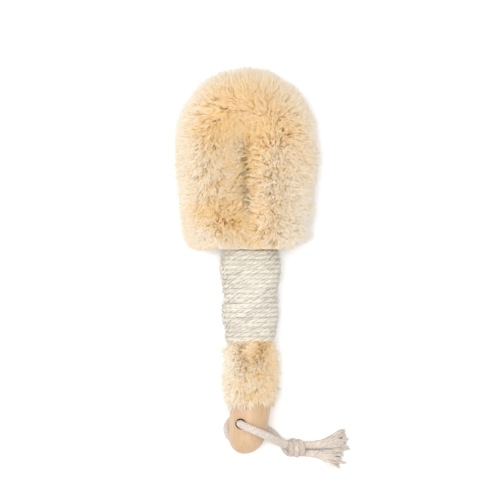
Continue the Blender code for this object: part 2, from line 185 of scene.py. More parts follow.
def ramp(nodes, stops):
    """A colour ramp through (place, display colour) stops."""
    node = nodes.new("ShaderNodeValToRGB")
    elements = node.color_ramp.elements
    while len(elements) < len(stops):
        elements.new(0.5)
    for element, (place, colour) in zip(elements, stops):
        element.position = place
        element.color = srgb(*colour)
    return node


def noise(nodes, links, place, scale, stretch=(1.0, 1.0, 1.0), detail=2.0):
    """A noise over the coordinates of a socket; a small stretch draws it out along that axis."""
    mapping = nodes.new("ShaderNodeMapping")
    mapping.inputs["Scale"].default_value = stretch
    links.new(place, mapping.inputs["Vector"])
    texture = nodes.new("ShaderNodeTexNoise")
    texture.inputs["Scale"].default_value = scale
    texture.inputs["Detail"].default_value = detail
    links.new(mapping.outputs["Vector"], texture.inputs["Vector"])
    return texture.outputs["Fac"]


def mixed(nodes, links, first, second, factor, way="MIX"):
    """A mix of two colour sockets; factor is a number or a socket."""
    mix = nodes.new("ShaderNodeMix")
    mix.data_type = "RGBA"
    mix.blend_type = way
    if isinstance(factor, float):
        mix.inputs["Factor"].default_value = factor
    else:
        links.new(factor, mix.inputs["Factor"])
    colours = [i for i in mix.inputs if i.type == "RGBA"]
    links.new(first, colours[0])
    links.new(second, colours[1])
    return [o for o in mix.outputs if o.type == "RGBA"][0]


def shaded(nodes, links, colour, pattern, stops, strength):
    """A colour multiplied by a ramp over a pattern."""
    shade = ramp(nodes, stops)
    links.new(pattern, shade.inputs["Fac"])
    return mixed(nodes, links, colour, shade.outputs["Color"], strength, "MULTIPLY")


def mottled_material(name, roughness, scale, dark, light, metallic=0.0, specular=0.5):
    """A surface that varies a little between two colours."""
    material, nodes, links, shader = new_material(name, roughness, metallic, specular)
    place = nodes.new("ShaderNodeTexCoord").outputs["Object"]
    colours = ramp(nodes, [(0.3, dark), (0.7, light)])
    links.new(noise(nodes, links, place, scale), colours.inputs["Fac"])
    links.new(colours.outputs["Color"], shader.inputs["Base Color"])
    return material


WHITE = (255, 255, 255)
STREAK_STRETCH = (37.0, 420.0, 1.0)  # across the strands' tones and along the strands
STREAK_STOPS = [(0.3, (176, 160, 128)), (0.62, WHITE)]


def strand_material(name, pale, warm, roughness=0.75, streak=0.0):
    """Colour runs from root to tip with V; U blends from the pale ramp to the warm one.

    Streak is the strength of darker streaks along the strands.
    """
    material, nodes, links, shader = new_material(name, roughness, specular=0.25)
    uv = nodes.new("ShaderNodeUVMap")
    uv.uv_map = UV_NAME
    split = nodes.new("ShaderNodeSeparateXYZ")
    links.new(uv.outputs["UV"], split.inputs[0])
    ramps = [ramp(nodes, stops) for stops in (pale, warm)]
    for colours in ramps:
        links.new(split.outputs["Y"], colours.inputs["Fac"])
    colour = mixed(nodes, links, *(r.outputs["Color"] for r in ramps), split.outputs["X"])
    if streak:
        streaks = noise(nodes, links, uv.outputs["UV"], 1.0, STREAK_STRETCH, detail=3.0)
        colour = shaded(nodes, links, colour, streaks, STREAK_STOPS, streak)
    links.new(colour, shader.inputs["Base Color"])
    return material


# Beech: how fine its patterns are, how far they are drawn out along the handle, and their colours.
GRAIN_SCALE, GRAIN_STRETCH = 160, (1.0, 0.07, 1.0)
PORE_SCALE, PORE_STRETCH = 900, (1.0, 0.045, 1.0)
FLECK_SCALE, FLECK_STRETCH = 620, (1.0, 0.16, 1.0)
GRAIN_STOPS = [(0.3, (189, 157, 125)), (0.55, (194, 164, 132)), (0.75, (199, 170, 139))]
PORE_STOPS = [(0.33, (226, 200, 172)), (0.47, WHITE)]
FLECK_STOPS = [(0.25, (206, 166, 128)), (0.32, WHITE)]
PORE_STRENGTH = 0.3
FLECK_STRENGTH = 0.15
PORE_BUMP = 0.12
PORE_DEPTH = 0.0002


def beech_material():
    """Satin beech: faint long grain, short dark flecks and a fine sanded surface."""
    material, nodes, links, shader = new_material("satin_beech", roughness=0.42, specular=0.4)
    place = nodes.new("ShaderNodeTexCoord").outputs["Object"]
    body = ramp(nodes, GRAIN_STOPS)
    links.new(noise(nodes, links, place, GRAIN_SCALE, GRAIN_STRETCH, detail=4.0), body.inputs["Fac"])
    pores = noise(nodes, links, place, PORE_SCALE, PORE_STRETCH)
    colour = shaded(nodes, links, body.outputs["Color"], pores, PORE_STOPS, PORE_STRENGTH)
    flecks = noise(nodes, links, place, FLECK_SCALE, FLECK_STRETCH, detail=1.0)
    colour = shaded(nodes, links, colour, flecks, FLECK_STOPS, FLECK_STRENGTH)
    links.new(colour, shader.inputs["Base Color"])
    bump = nodes.new("ShaderNodeBump")
    bump.inputs["Strength"].default_value = PORE_BUMP
    bump.inputs["Distance"].default_value = PORE_DEPTH
    links.new(pores, bump.inputs["Height"])
    links.new(bump.outputs["Normal"], shader.inputs["Normal"])
    return material


# The head's fibres run from orange at the root to cream at the tip: the darker orange low in the roll is
# painted shade deep among the fibres.
HEAD_SISAL = strand_material(
    "sisal_fibre",
    [
        (0.0, (250, 186, 98)),
        (0.42, (254, 225, 164)),
        (0.72, (252, 237, 205)),
        (0.90, (249, 243, 231)),
        (1.0, (246, 241, 236)),
    ],
    [
        (0.0, (236, 152, 62)),
        (0.5, (250, 194, 106)),
        (0.8, (252, 215, 144)),
        (0.95, (251, 219, 158)),
        (1.0, (248, 220, 170)),
    ],
)
TWINE_SISAL = strand_material(
    "sisal_twine",
    [(0.0, (229, 225, 218)), (0.5, (232, 228, 222)), (1.0, (229, 225, 217))],
    [(0.0, (212, 205, 191)), (0.5, (217, 211, 198)), (1.0, (211, 203, 188))],
    streak=0.3,
)
COTTON = strand_material(
    "braided_cotton",
    [(0.0, (217, 207, 199)), (0.5, (220, 210, 202)), (1.0, (219, 209, 200))],
    [(0.0, (190, 177, 167)), (0.5, (194, 182, 172)), (1.0, (192, 180, 170))],
    roughness=0.85,
    streak=0.3,
)
# Materials with the body that their pieces ride on and the slot.
BRISTLES = (HEAD_SISAL, "brush", "sisal_bristle")
SQUEEZED_BRISTLES = (TWINE_SISAL, "brush", "sisal_bristle")
TWINE = (TWINE_SISAL, "brush", "sisal_twine")
CORD = (COTTON, "hang_loop", "cotton_cord")
BEECH = beech_material()
STEEL = mottled_material(
    "galvanised_wire", roughness=0.38, scale=900.0, dark=(150, 150, 148), light=(196, 196, 192), metallic=1.0
)


# ---------------------------------------------------------------- strands
def placed(name, data):
    """A new object in the scene."""
    made = bpy.data.objects.new(name, data)
    bpy.context.scene.collection.objects.link(made)
    return made


def unit(vectors):
    """The same directions at unit length."""
    return vectors / np.maximum(np.linalg.norm(vectors, axis=-1, keepdims=True), 1e-12)


def length_along(line):
    """The length of a line from its start to each of its points."""
    return np.concatenate([[0], np.cumsum(np.linalg.norm(np.diff(line, axis=0), axis=1))])


def at_even_steps(line, count):
    """Points at even spacing along a line, and the length to each."""
    length = length_along(line)
    steps = np.linspace(0, length[-1], count(length[-1]))
    return np.column_stack([np.interp(steps, length, line[:, i]) for i in range(3)]), steps


def spokes(turn, first, second):
    """Directions at an angle from the first to the second across a line, one for each of its points."""
    return np.cos(turn)[:, None] * first + np.sin(turn)[:, None] * second


def strand_piece(name, centres, radii, tones, look, nodes=(), sides=3, across=None):
    """One piece of closed strands round the centrelines (strands, points, 3).

    Look is its material, the body that it rides on and its slot; nodes are the CAD nodes that it
    stands for. Each strand has its own strip in the UV map: U is its tone and V runs from its root to
    its tip.
    """
    material, body, slot = look
    count, points, _ = centres.shape
    radii = np.broadcast_to(radii, (count, points))
    tangents = unit(np.gradient(centres, axis=1))
    if across is None:
        across = np.random.default_rng(count * 7 + points).normal(size=(count, 1, 3))
    normals = unit(across - np.sum(across * tangents, axis=2, keepdims=True) * tangents)
    binormals = np.cross(tangents, normals)
    turns = 2 * math.pi * np.arange(sides) / sides
    ring = (
        np.cos(turns)[:, None] * normals[:, :, None, :] + np.sin(turns)[:, None] * binormals[:, :, None, :]
    )
    vertices = centres[:, :, None, :] + radii[:, :, None, None] * ring

    start = (np.arange(count) * points * sides)[:, None, None]
    row = (np.arange(points - 1) * sides)[None, :, None]
    side = np.arange(sides)[None, None, :]
    after = (side + 1) % sides
    corner = start + row
    quads = np.stack(
        [corner + side, corner + after, corner + sides + after, corner + sides + side], axis=-1
    ).reshape(-1, 4)
    root = (start[:, 0] + np.arange(sides)[::-1][None, :]).reshape(-1, sides)
    tip = (start[:, 0] + (points - 1) * sides + np.arange(sides)[None, :]).reshape(-1, sides)
    caps = np.concatenate([root, tip])
    loops = np.concatenate([quads.ravel(), caps.ravel()]).astype(np.int32)
    sizes = np.concatenate([np.full(len(quads), 4), np.full(len(caps), sides)]).astype(np.int32)

    mesh = bpy.data.meshes.new(name)
    mesh.vertices.add(count * points * sides)
    mesh.vertices.foreach_set("co", vertices.astype(np.float32).ravel())
    mesh.loops.add(len(loops))
    mesh.loops.foreach_set("vertex_index", loops)
    mesh.polygons.add(len(sizes))
    mesh.polygons.foreach_set("loop_start", np.concatenate([[0], np.cumsum(sizes)[:-1]]).astype(np.int32))
    mesh.polygons.foreach_set("use_smooth", np.ones(len(sizes), bool))
    uv = np.empty((count, points, sides, 2), np.float32)
    across_strip = TONE_WIDTH * (np.arange(sides) / (sides - 1) - 0.5)
    uv[..., 0] = np.clip(tones, *TONE_LIMITS)[:, None, None] + across_strip
    uv[..., 1] = np.linspace(*ROOT_TO_TIP, points)[None, :, None]
    mesh.uv_layers.new(name=UV_NAME)
    mesh.update(calc_edges=True)
    mesh.uv_layers[UV_NAME].data.foreach_set("uv", uv.reshape(-1, 2)[loops].ravel())
    mesh.materials.append(material)
    return finish_piece(placed(name, mesh), body, slot, *nodes)


def bezier(root, control, tip, steps):
    """Curved centrelines from each root to its tip."""
    t = np.asarray(steps)[None, :, None]
    return (1 - t) ** 2 * root[:, None] + 2 * t * (1 - t) * control[:, None] + t**2 * tip[:, None]


def smoothstep(t):
    """A smooth step from 0 to 1 as t goes from 0 to 1."""
    t = np.clip(t, 0, 1)
    return t * t * (3 - 2 * t)


def even_scatter(count):
    """Two numbers from 0 to 1 for each of count points, evenly scattered."""
    return [(np.arange(1, count + 1) * step) % 1 for step in SCATTER_STEPS]


def smooth_noise(rng, waves, *coordinates):
    """A slow random field of about unit size over coordinates that run over a few units."""
    total = np.zeros_like(coordinates[0])
    for _ in range(waves):
        pull = rng.normal(0, 1, len(coordinates))
        total += np.sin(sum(p * c for p, c in zip(pull, coordinates)) + rng.uniform(0, 2 * math.pi))
    return total / math.sqrt(waves / 2)


def finish_piece(piece, body, slot, *nodes):
    """Rides on a body and stands for the CAD nodes, which it hides; its slot is not used."""
    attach(piece, body)
    if nodes:
        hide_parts(*nodes)
    return piece


def bristle_piece(place, side, part, centres, tones):
    """One of the meshes of the head's or the collar's bristles."""
    name = f"{place}_fibres_{side}_{part + 1}"
    strand_piece(name, centres, FIBRE_RADII, tones, BRISTLES, [f"{place}_bristles_{side}"])


# ---------------------------------------------------------------- the head's bristles
HEAD_FIBRES = 140000
FIBRES_PER_TUFT = 8
HEAD_SEED = 5
FIBRE_STEPS = (0.0, 0.38, 0.74, 1.0)
FIBRE_RADII = np.array([0.00015, 0.00015, 0.00014, 0.00009])
STEM_LENGTHS = (0.0017, 0.0023)  # from the wire's middle to where a fibre's mesh starts
ROOT_SCATTER, ROOT_TURN_SCATTER = 0.0011, 0.12
ROOT_GAP = 0.0007  # between the head's foot and the first roots
FIBRE_LENGTH, FIBRE_LENGTH_SCATTER = 0.97, 0.036  # as shares of the room that a fibre has
SHORT_SHARE = 0.36  # how many of the fibres end below the surface
SHORT_LENGTHS = (0.66, 0.96)
LOOSE_SHARE, SEAM_LOOSE_CUT = 0.25, 0.10  # how many fibres stray from their tuft, fewer at the seam
LOOSE_SPREAD = 0.0016
# The spread of a tuft's tips on the crest, with what the outer side and the seam's side add to it.
TUFT_SPREAD, SIDE_SPREAD, SEAM_SPREAD = 0.0007, 0.0006, -0.0003
SIDE_OUTWARD_SPREAD = 0.35  # how much of it a side tuft has along its own direction
WAVER, SIDE_WAVER = 0.0006, -0.0003  # how far the fibres bow, and what the outer side adds
CONTROL_SHARE = 0.52  # how far out a fibre keeps its root's direction
TABLE_GAPS = (0.0004, 0.0022)  # how high over the table the lowest tips end
# Fibres that the table stops splay outwards by this share of the height they lose, and those near
# the seam by this share of that.
SPLAY, SEAM_SPLAY = 0.7, -0.4
TOP_SINK = 0.58  # how low the top may lie at its edges: the square of a share of its height
TOP_SCATTER = 0.02

# How the roll lies on its hairpin.
LEG_POINTS = 200
BEND_POINTS = 160
LEG_FANNING = 0.45  # how far the legs' bristles follow the slant of the wire
BEND_ROOM = 0.86  # the room inside the bend, as a share of the bend's radius
TOP_CROWDING = 0.25  # more of the bristles stand up than down
FOOT_CROWDING = -0.2  # bristles stand closer at the hairpin's feet and in its bend
COMBING = 1.12

# The head's foot, where the bristles crowd over the binding, and its two corners.
CORNER_HEIGHT = 0.0105
LEFT_CORNER_CUT = 0.12
RIGHT_CORNER_CUT = 0.25
RIGHT_FOOT_STEP = 0.0034  # the right corner's bristles end higher up
RIGHT_FOOT_STEP_X, RIGHT_FOOT_STEP_WIDTH = 0.0290, 0.0016
FOOT_LEAN = math.radians(24)  # how far the crest's bristles lean over the binding at the head's foot
SIDE_FOOT_LEAN = 0.25  # how much of that lean the sides have
FOOT_LEAN_HEIGHT = 0.022
FOOT_CROWD_HEIGHT = 0.003
FOOT_DROP, FOOT_OVERHANG = 0.0006, 0.0003
FOOT_SCATTER, TUFT_FOOT_SCATTER = 0.0006, 0.0007
FOOT_OVER_SCATTER = 0.3  # how much of that scatter there is over the binding
BESIDE_BINDING, BESIDE_BLEND = 0.018, 0.003  # how far from the middle the foot is clear of it
FOOT_ROUNDING = 0.0045

# The tufts' lean along the hairpin and round it, in degrees.
AXIAL_WAVE, TURN_WAVE = 7, 6
WAVE_LENGTH = 0.022
WAVE_TURN = 2.2
SIDE_CALM = 0.6  # how much weaker the waves are at the head's outer sides
LEAN_SCATTER, CREST_LEAN_SCATTER, SEAM_LEAN_SCATTER = 1.2, 9, 7

# The tufts' tones, from 0, pale, to 1, warm, and their lengths.
TUFT_TONE, TONE_WAVE, SEAM_SIDE_TONE = 0.26, 0.08, 0.12
TONE_SCATTER, CREST_TONE_SCATTER, SEAM_TONE_SCATTER = 0.05, 0.06, 0.15
BEND_CREST_TONE, BEND_SIDE_TONE = 0.28, -0.18
FIBRE_TONE_SCATTER = 0.13
CREST_TONE, SHORT_TONE = 0.12, 0.10
# How much warmer and darker the fibres near the seam are, and over what width: painted shade in the valley
# where the two legs meet.
SEAM_TONE, SEAM_TONE_WIDTH = 0.34, 0.0045
LENGTH_SCATTER, CREST_LENGTH_SCATTER, SEAM_LENGTH_SCATTER = 0.010, 0.014, 0.06
UNEVEN_WAVE_LENGTH = 0.005

# The locks that the tufts gather in towards the seam.
LOCK_SPACING = 0.0030
BEND_LOCK_GROWTH = 2.2
LOCK_WANDER = 2.2
LOCK_WANDER_LENGTH = 0.006
BEND_GATHERING, GATHERED_SHARE = 1.2, 0.9
# How much warmer and darker the gaps between the locks are, painted shade, and how much shorter their fibres
# are.
LOCK_GAP_PAINTED_SHADE, LOCK_LENGTH = 0.60, -0.21

# The seam, where the two legs' bristles meet: how far they cross, and what is left of them turns up or down.
SEAM_CROSSING, SEAM_SCATTER, BEND_SEAM_SCATTER = 0.0017, 0.0020, 0.004
SEAM_EDGE_SCATTER = 0.0007
SEAM_RISE, SEAM_RISE_FROM = 0.8, -0.004  # from this height, counted from the wire, they turn up
SEAM_SHIFT, SEAM_SHIFT_LENGTH = 0.5, 0.004  # they also shift along the seam, in waves
SEAM_POINTS = (  # in X and Y
    (0.0016, 0.0080),
    (-0.0004, 0.0230),
    (-0.0026, 0.0345),
    (-0.0012, 0.0439),
    (-0.0015, 0.0507),
    (-0.0027, 0.0588),
    (-0.0010, 0.0638),
    (0.0008, 0.0725),
    (-0.0004, 0.0794),
)

# How far the bristles' outline steps out of the plain rounded form: by Y along the right leg, and by
# the angle round the bend, in degrees from the right.
RIGHT_LEG_STEPS = (
    (0.0080, 0.0),
    (0.0140, 0.0004),
    (0.0161, 0.0010),
    (0.0195, 0.0004),
    (0.0208, -0.0026),
    (0.0225, -0.0018),
    (0.0285, -0.0012),
    (0.0338, -0.0004),
    (0.0346, -0.0004),
    (0.0354, -0.0032),
    (0.0390, -0.0024),
    (0.0485, -0.0016),
    (0.0580, -0.0013),
    (0.0676, -0.0008),
    (0.0710, -0.0028),
    (0.0750, -0.0023),
)
BEND_STEPS = (
    (0, -0.0023),
    (10, -0.0018),
    (20, -0.0016),
    (34, -0.0013),
    (50, -0.0008),
    (55, -0.0022),
    (62, -0.0016),
    (72, -0.0004),
    (78, -0.0008),
    (90, 0.0),
    (100, -0.0006),
    (114, 0.0007),
    (125, 0.0008),
    (140, -0.0004),
    (150, 0.0003),
    (180, 0.0),
)

# Narrow partings in the top of the head: both ends, in X and Y, and how far the bristles part.
PARTING_REACH = 2.2  # in widths
PARTINGS = (
    ((0.0012, 0.0818), (-0.0019, 0.0628), 0.0009),
    ((-0.0104, 0.0435), (-0.0059, 0.0505), 0.0008),
    ((-0.0067, 0.0887), (-0.0004, 0.0819), 0.0006),
)
# Warmer places in the top of the head: the middle, in X and Y, the size and the tone.
WARM_PATCHES = (
    ((-0.0265, 0.0300), 0.0075, 0.42),
    ((-0.0145, 0.0235), 0.0090, 0.30),
    ((0.0100, 0.0780), 0.0080, 0.22),
    ((-0.0020, 0.0600), 0.0085, 0.20),
)
HEAD_PARTS = 6  # the meshes that each stretch of the hairpin's bristles is cut into


def leg_x(side, y):
    """Where a leg of the hairpin runs; side is -1 for the left one and 1 for the right."""
    neck = NECK_X + side * NECK_WIRE_OFFSET
    head = SPINE_X + side * SPINE_HALF_SPACING
    return neck + (head - neck) * smoothstep(y / LEG_STRAIGHT_Y)


def table(points, places):
    """Values between the points of a table of places and values."""
    return np.interp(places, *np.transpose(points))


def head_half_width(y):
    """Half the head's width over its legs."""
    return HEAD_HALF_WIDTH - SIDE_TAPER * (WIDEST_Y - y) ** 2


class Hairpin:
    """The wire hairpin seen from above, with the room that its bristles have on each side."""

    def __init__(self, foot_y):
        rise = np.linspace(foot_y, BEND_Y, LEG_POINTS)
        bend = np.linspace(math.pi, 0, BEND_POINTS)[1:-1]
        half = SPINE_HALF_SPACING
        left = np.column_stack([leg_x(-1, rise), rise])
        crown = np.column_stack([SPINE_X + half * np.cos(bend), BEND_Y + half * np.sin(bend)])
        right = np.column_stack([leg_x(1, rise), rise])[::-1]
        self.line = np.concatenate([left, crown, right])
        along = unit(np.gradient(self.line, axis=0))
        out = np.column_stack([-along[:, 1], along[:, 0]])
        legs = self.line[:, 1] <= BEND_Y
        out[legs, 1] *= LEG_FANNING
        out = unit(out)
        x, y = self.line[:, 0], self.line[:, 1]
        side_room = (head_half_width(y) - np.abs(x)) / np.maximum(np.abs(out[:, 0]), 0.5)
        corner = 1 - smoothstep((y - foot_y) / CORNER_HEIGHT)
        side_room *= 1 - corner * np.where(x > 0, RIGHT_CORNER_CUT, LEFT_CORNER_CUT)
        from_bend = self.line - [0.0, BEND_Y]
        reach = np.sum(from_bend * out, axis=1)
        round_room = -reach + np.sqrt(reach**2 - np.sum(from_bend**2, axis=1) + HEAD_HALF_WIDTH**2)
        leg_step = np.where(x > 0, table(RIGHT_LEG_STEPS, y), 0.0)
        bend_step = table(BEND_STEPS, np.degrees(np.arctan2(y - BEND_Y, x - SPINE_X)))
        self.reach = np.where(legs, side_room + leg_step, round_room + bend_step)
        seam_x = np.interp(y, *np.transpose(SEAM_POINTS)[::-1])
        self.room = np.where(legs, np.abs(x - seam_x), BEND_ROOM * half)
        self.bent = np.where(legs, 0.0, np.sin(np.linspace(0, math.pi, len(x))))
        self.along, self.out = along, out
        self.length = length_along(self.line)

    def at(self, name, s):
        """One of the hairpin's properties at lengths along it."""
        values = getattr(self, name)
        if values.ndim == 1:
            return np.interp(s, self.length, values)
        return np.column_stack([np.interp(s, self.length, values[:, i]) for i in range(2)])


def part_bristles(tips):
    """Pushes the tips near a parting away from it."""
    for start, end, width in PARTINGS:
        a, b = np.array(start), np.array(end)
        line = b - a
        t = np.clip(((tips[:, :2] - a) @ line) / (line @ line), 0, 1)
        away = tips[:, :2] - (a + t[:, None] * line)
        distance = np.linalg.norm(away, axis=1)
        near = (tips[:, 2] > AXIS_HEIGHT) * np.exp(-((distance / (PARTING_REACH * width)) ** 2))
        tips[:, :2] += unit(away) * (width * near)[:, None]
    return tips


def combed(turn):
    """The direction of a bristle's tip: from the crest it bends down to the outside or to the seam."""
    crest = math.pi / 2
    from_side = np.where(turn < crest, turn, math.pi - turn)
    bent = np.sign(from_side) * crest * (np.abs(from_side) / crest) ** COMBING
    return np.where(turn > math.pi, turn, np.where(turn < crest, bent, math.pi - bent))


def head_fibres():
    """Centrelines and tones of the head's bristles, where along the hairpin each grows, and the hairpin."""
    rng = np.random.default_rng(HEAD_SEED)
    spine = Hairpin(HEAD_FOOT_Y + ROOT_GAP)
    tufts = HEAD_FIBRES // FIBRES_PER_TUFT
    s_share, turn_share = even_scatter(tufts)
    tuft_s = (s_share + FOOT_CROWDING * np.sin(4 * math.pi * s_share) / (4 * math.pi)) * spine.length[-1]
    tuft_turn = turn_share * 2 * math.pi
    tuft_turn = tuft_turn + TOP_CROWDING * np.cos(tuft_turn)
    upright = np.maximum(np.sin(tuft_turn), 0) ** 2  # 1 on the crest, 0 at the sides
    crest = upright**2
    inside = np.maximum(-np.cos(tuft_turn), 0)  # 1 towards the seam
    outside = np.maximum(np.cos(tuft_turn), 0)  # 1 at the head's outer side
    bent = spine.at("bent", tuft_s)  # 1 in the middle of the bend, 0 on the legs

    def waves(count, length=WAVE_LENGTH):
        """A slow field over the whole roll, with waves of about that length along it."""
        round_it = (WAVE_TURN * np.cos(tuft_turn), WAVE_TURN * np.sin(tuft_turn))
        return smooth_noise(rng, count, tuft_s / length, *round_it)

    calm = 1 - SIDE_CALM * outside
    axial_lean = math.radians(AXIAL_WAVE) * calm * waves(7)
    turn_lean = math.radians(TURN_WAVE) * calm * waves(7)
    scatter = LEAN_SCATTER + CREST_LEAN_SCATTER * crest
    axial_lean += rng.normal(0, np.radians(scatter + SEAM_LEAN_SCATTER * inside))
    turn_lean += rng.normal(0, np.radians(scatter))
    from_foot = spine.at("line", tuft_s)[:, 1] - HEAD_FOOT_Y
    down = np.where(s_share < 0.5, -1.0, 1.0) * FOOT_LEAN * (1 - smoothstep(from_foot / FOOT_LEAN_HEIGHT))
    axial_lean += down * (SIDE_FOOT_LEAN + (1 - SIDE_FOOT_LEAN) * upright)
    tuft_tone = TUFT_TONE + TONE_WAVE * waves(6) + SEAM_SIDE_TONE * inside
    tuft_tone += rng.normal(0, TONE_SCATTER + CREST_TONE_SCATTER * upright + SEAM_TONE_SCATTER * inside)
    uneven = LENGTH_SCATTER + CREST_LENGTH_SCATTER * np.maximum(crest, inside)
    tuft_length = rng.normal(1, uneven)
    tuft_length += uneven * waves(6, UNEVEN_WAVE_LENGTH)
    tuft_length += rng.normal(0, SEAM_LENGTH_SCATTER, tufts) * inside

    # Towards the seam the tufts gather into locks, with shorter fibres in the gaps between them; their
    # warmer, darker tones there are painted shade.
    spacing = LOCK_SPACING * (1 + BEND_LOCK_GROWTH * spine.bent)
    phase = np.concatenate([[0], np.cumsum(2 * math.pi * np.diff(spine.length) / spacing[1:])])
    lock = np.interp(tuft_s, spine.length, phase) + LOCK_WANDER * waves(9, LOCK_WANDER_LENGTH)
    gather = inside * bent * BEND_GATHERING * LOCK_SPACING / (2 * math.pi) * np.sin(lock)
    gather += inside * LOCK_SPACING / (2 * math.pi) * np.sin(lock)
    tuft_tone += LOCK_GAP_PAINTED_SHADE * inside * (1 - np.cos(lock)) / 2
    tuft_length += LOCK_LENGTH * inside * (1 - np.cos(lock)) / 2
    tuft_tone += bent * (BEND_CREST_TONE * crest + BEND_SIDE_TONE * outside)
    tuft_room = rng.normal(SEAM_CROSSING, SEAM_SCATTER, tufts)
    tuft_room += rng.normal(0, BEND_SEAM_SCATTER, tufts) * bent

    of = np.repeat(np.arange(tufts), FIBRES_PER_TUFT)
    n = len(of)
    s = np.clip(tuft_s[of] + rng.normal(0, ROOT_SCATTER, n), 0, spine.length[-1])
    loose = rng.random(n) < LOOSE_SHARE - SEAM_LOOSE_CUT * inside[of]
    close = TUFT_SPREAD + SIDE_SPREAD * outside[of] + SEAM_SPREAD * inside[of]
    spread = np.where(loose, LOOSE_SPREAD, close)
    across_spread = SIDE_OUTWARD_SPREAD + (1 - SIDE_OUTWARD_SPREAD) * upright[of]
    turn = combed(tuft_turn[of]) + turn_lean[of]
    reach, room = spine.at("reach", tuft_s[of]), spine.at("room", tuft_s[of])
    oval = 1 / np.sqrt((np.cos(turn) / reach) ** 2 + (np.sin(turn) / BRISTLE_LIFT) ** 2)
    length = oval * tuft_length[of] * rng.normal(FIBRE_LENGTH, FIBRE_LENGTH_SCATTER, n)
    short = rng.random(n) < SHORT_SHARE
    length = np.where(short, length * rng.uniform(*SHORT_LENGTHS, n), length)
    outward = length * np.cos(turn) + rng.normal(0, spread) * across_spread
    upward = length * np.sin(turn) + rng.normal(0, spread)
    axial = length * np.tan(axial_lean[of]) + rng.normal(0, spread) - GATHERED_SHARE * gather[of]

    # The two legs' bristles meet at the seam, where what is left of their length turns up or down.
    room = room + tuft_room[of] + rng.normal(0, SEAM_EDGE_SCATTER, n)
    excess = np.maximum(-outward - room, 0)
    rise = np.where(upward > SEAM_RISE_FROM, 1.0, -1.0)
    outward = np.maximum(outward, -room)
    upward = upward + rise * excess * SEAM_RISE
    axial = axial + excess * SEAM_SHIFT * np.sin(tuft_s / SEAM_SHIFT_LENGTH)[of]
    top = BRISTLE_LIFT * np.sqrt(np.maximum(1 - (outward / reach) ** 2, TOP_SINK))
    upward = np.clip(upward, -top * 1.1, top * rng.normal(1.0, TOP_SCATTER, n))

    # On the table they splay.
    floor = rng.uniform(*TABLE_GAPS, n)
    lost = np.maximum(floor - (AXIS_HEIGHT + upward), 0)
    upward = np.maximum(upward, floor - AXIS_HEIGHT)
    outward = outward + np.where(outward > -0.3 * room, 1.0, SEAM_SPLAY) * lost * SPLAY

    place, out, along = (spine.at(name, tuft_s[of]) for name in ("line", "out", "along"))
    tips = np.empty((n, 3))
    tips[:, :2] = place + out * outward[:, None] + along * axial[:, None]
    tips[:, 2] = AXIS_HEIGHT + upward
    tips = part_bristles(tips)

    # At the head's foot they crowd together just above the binding.
    beside = smoothstep((np.abs(tips[:, 0] - NECK_X) - BESIDE_BINDING) / BESIDE_BLEND)
    over = smoothstep((tips[:, 2] - BINDING_TOP) / BESIDE_BLEND) * (1 - beside)
    rounding = FOOT_ROUNDING * (np.abs(tips[:, 2] - AXIS_HEIGHT) / BRISTLE_LIFT) ** 4 * beside
    foot = HEAD_FOOT_Y - FOOT_DROP - FOOT_OVERHANG * over + rounding
    foot += RIGHT_FOOT_STEP * smoothstep((tips[:, 0] - RIGHT_FOOT_STEP_X) / RIGHT_FOOT_STEP_WIDTH)
    uneven_foot = rng.normal(0, TUFT_FOOT_SCATTER, tufts)[of] + rng.normal(0, FOOT_SCATTER, n)
    foot += (FOOT_OVER_SCATTER + (1 - FOOT_OVER_SCATTER) * beside) * uneven_foot
    low = foot + FOOT_CROWD_HEIGHT - tips[:, 1]
    crowded = foot + FOOT_CROWD_HEIGHT * np.exp(-low / FOOT_CROWD_HEIGHT)
    tips[:, 1] = np.where(low > 0, crowded, tips[:, 1])

    root_turn = tuft_turn[of] + rng.normal(0, ROOT_TURN_SCATTER, n)
    stem = rng.uniform(*STEM_LENGTHS, n)
    place, out = spine.at("line", s), spine.at("out", s)
    direction = np.column_stack([out * np.cos(root_turn)[:, None], np.sin(root_turn)])
    roots = np.column_stack([place, np.full(n, AXIS_HEIGHT)]) + direction * stem[:, None]
    roots[:, 2] = np.maximum(roots[:, 2], 0.001)
    straight = np.linalg.norm(tips - roots, axis=1)
    waver = WAVER + SIDE_WAVER * outside[of]
    controls = roots + direction * (CONTROL_SHARE * straight)[:, None]
    controls = controls + rng.normal(0, 1, (n, 3)) * waver[:, None]
    controls[:, 1] = np.maximum(controls[:, 1], HEAD_FOOT_Y)
    controls[:, 2] = np.maximum(controls[:, 2], 0.0012)
    centres = bezier(roots, controls, tips, FIBRE_STEPS)

    tones = tuft_tone[of] + rng.normal(0, FIBRE_TONE_SCATTER, n)
    tones += CREST_TONE * np.maximum(np.sin(turn), 0) ** 3 + SHORT_TONE * short
    # Painted shade: the fibres near the seam take warmer, darker tones.
    tones += SEAM_TONE * np.exp(-(((outward + room) / SEAM_TONE_WIDTH) ** 2)) * (outward < 0)
    middle = (roots[:, :2] + 2 * tips[:, :2]) / 3
    for centre, size, strength in WARM_PATCHES:
        near = np.exp(-np.sum((middle - np.array(centre)) ** 2, axis=1) / size**2)
        tones += strength * near * (tips[:, 2] > AXIS_HEIGHT * 0.6)
    return centres, tones, s / spine.length[-1], spine


def head_pieces():
    """The head's bristles, cut into pieces along the hairpin so that none is too large a mesh."""
    centres, tones, share, spine = head_fibres()
    rise = spine.line[:LEG_POINTS, 1]
    leg_share = np.interp(BEND_Y, rise, spine.length[:LEG_POINTS]) / spine.length[-1]
    for name, low, high in (
        ("left", 0.0, leg_share),
        ("crown", leg_share, 1 - leg_share),
        ("right", 1 - leg_share, 1.0001),
    ):
        edges = np.linspace(low, high, HEAD_PARTS + 1)
        for i in range(HEAD_PARTS):
            chosen = (share >= edges[i]) & (share < edges[i + 1])
            bristle_piece("head", name, i, centres[chosen], tones[chosen])


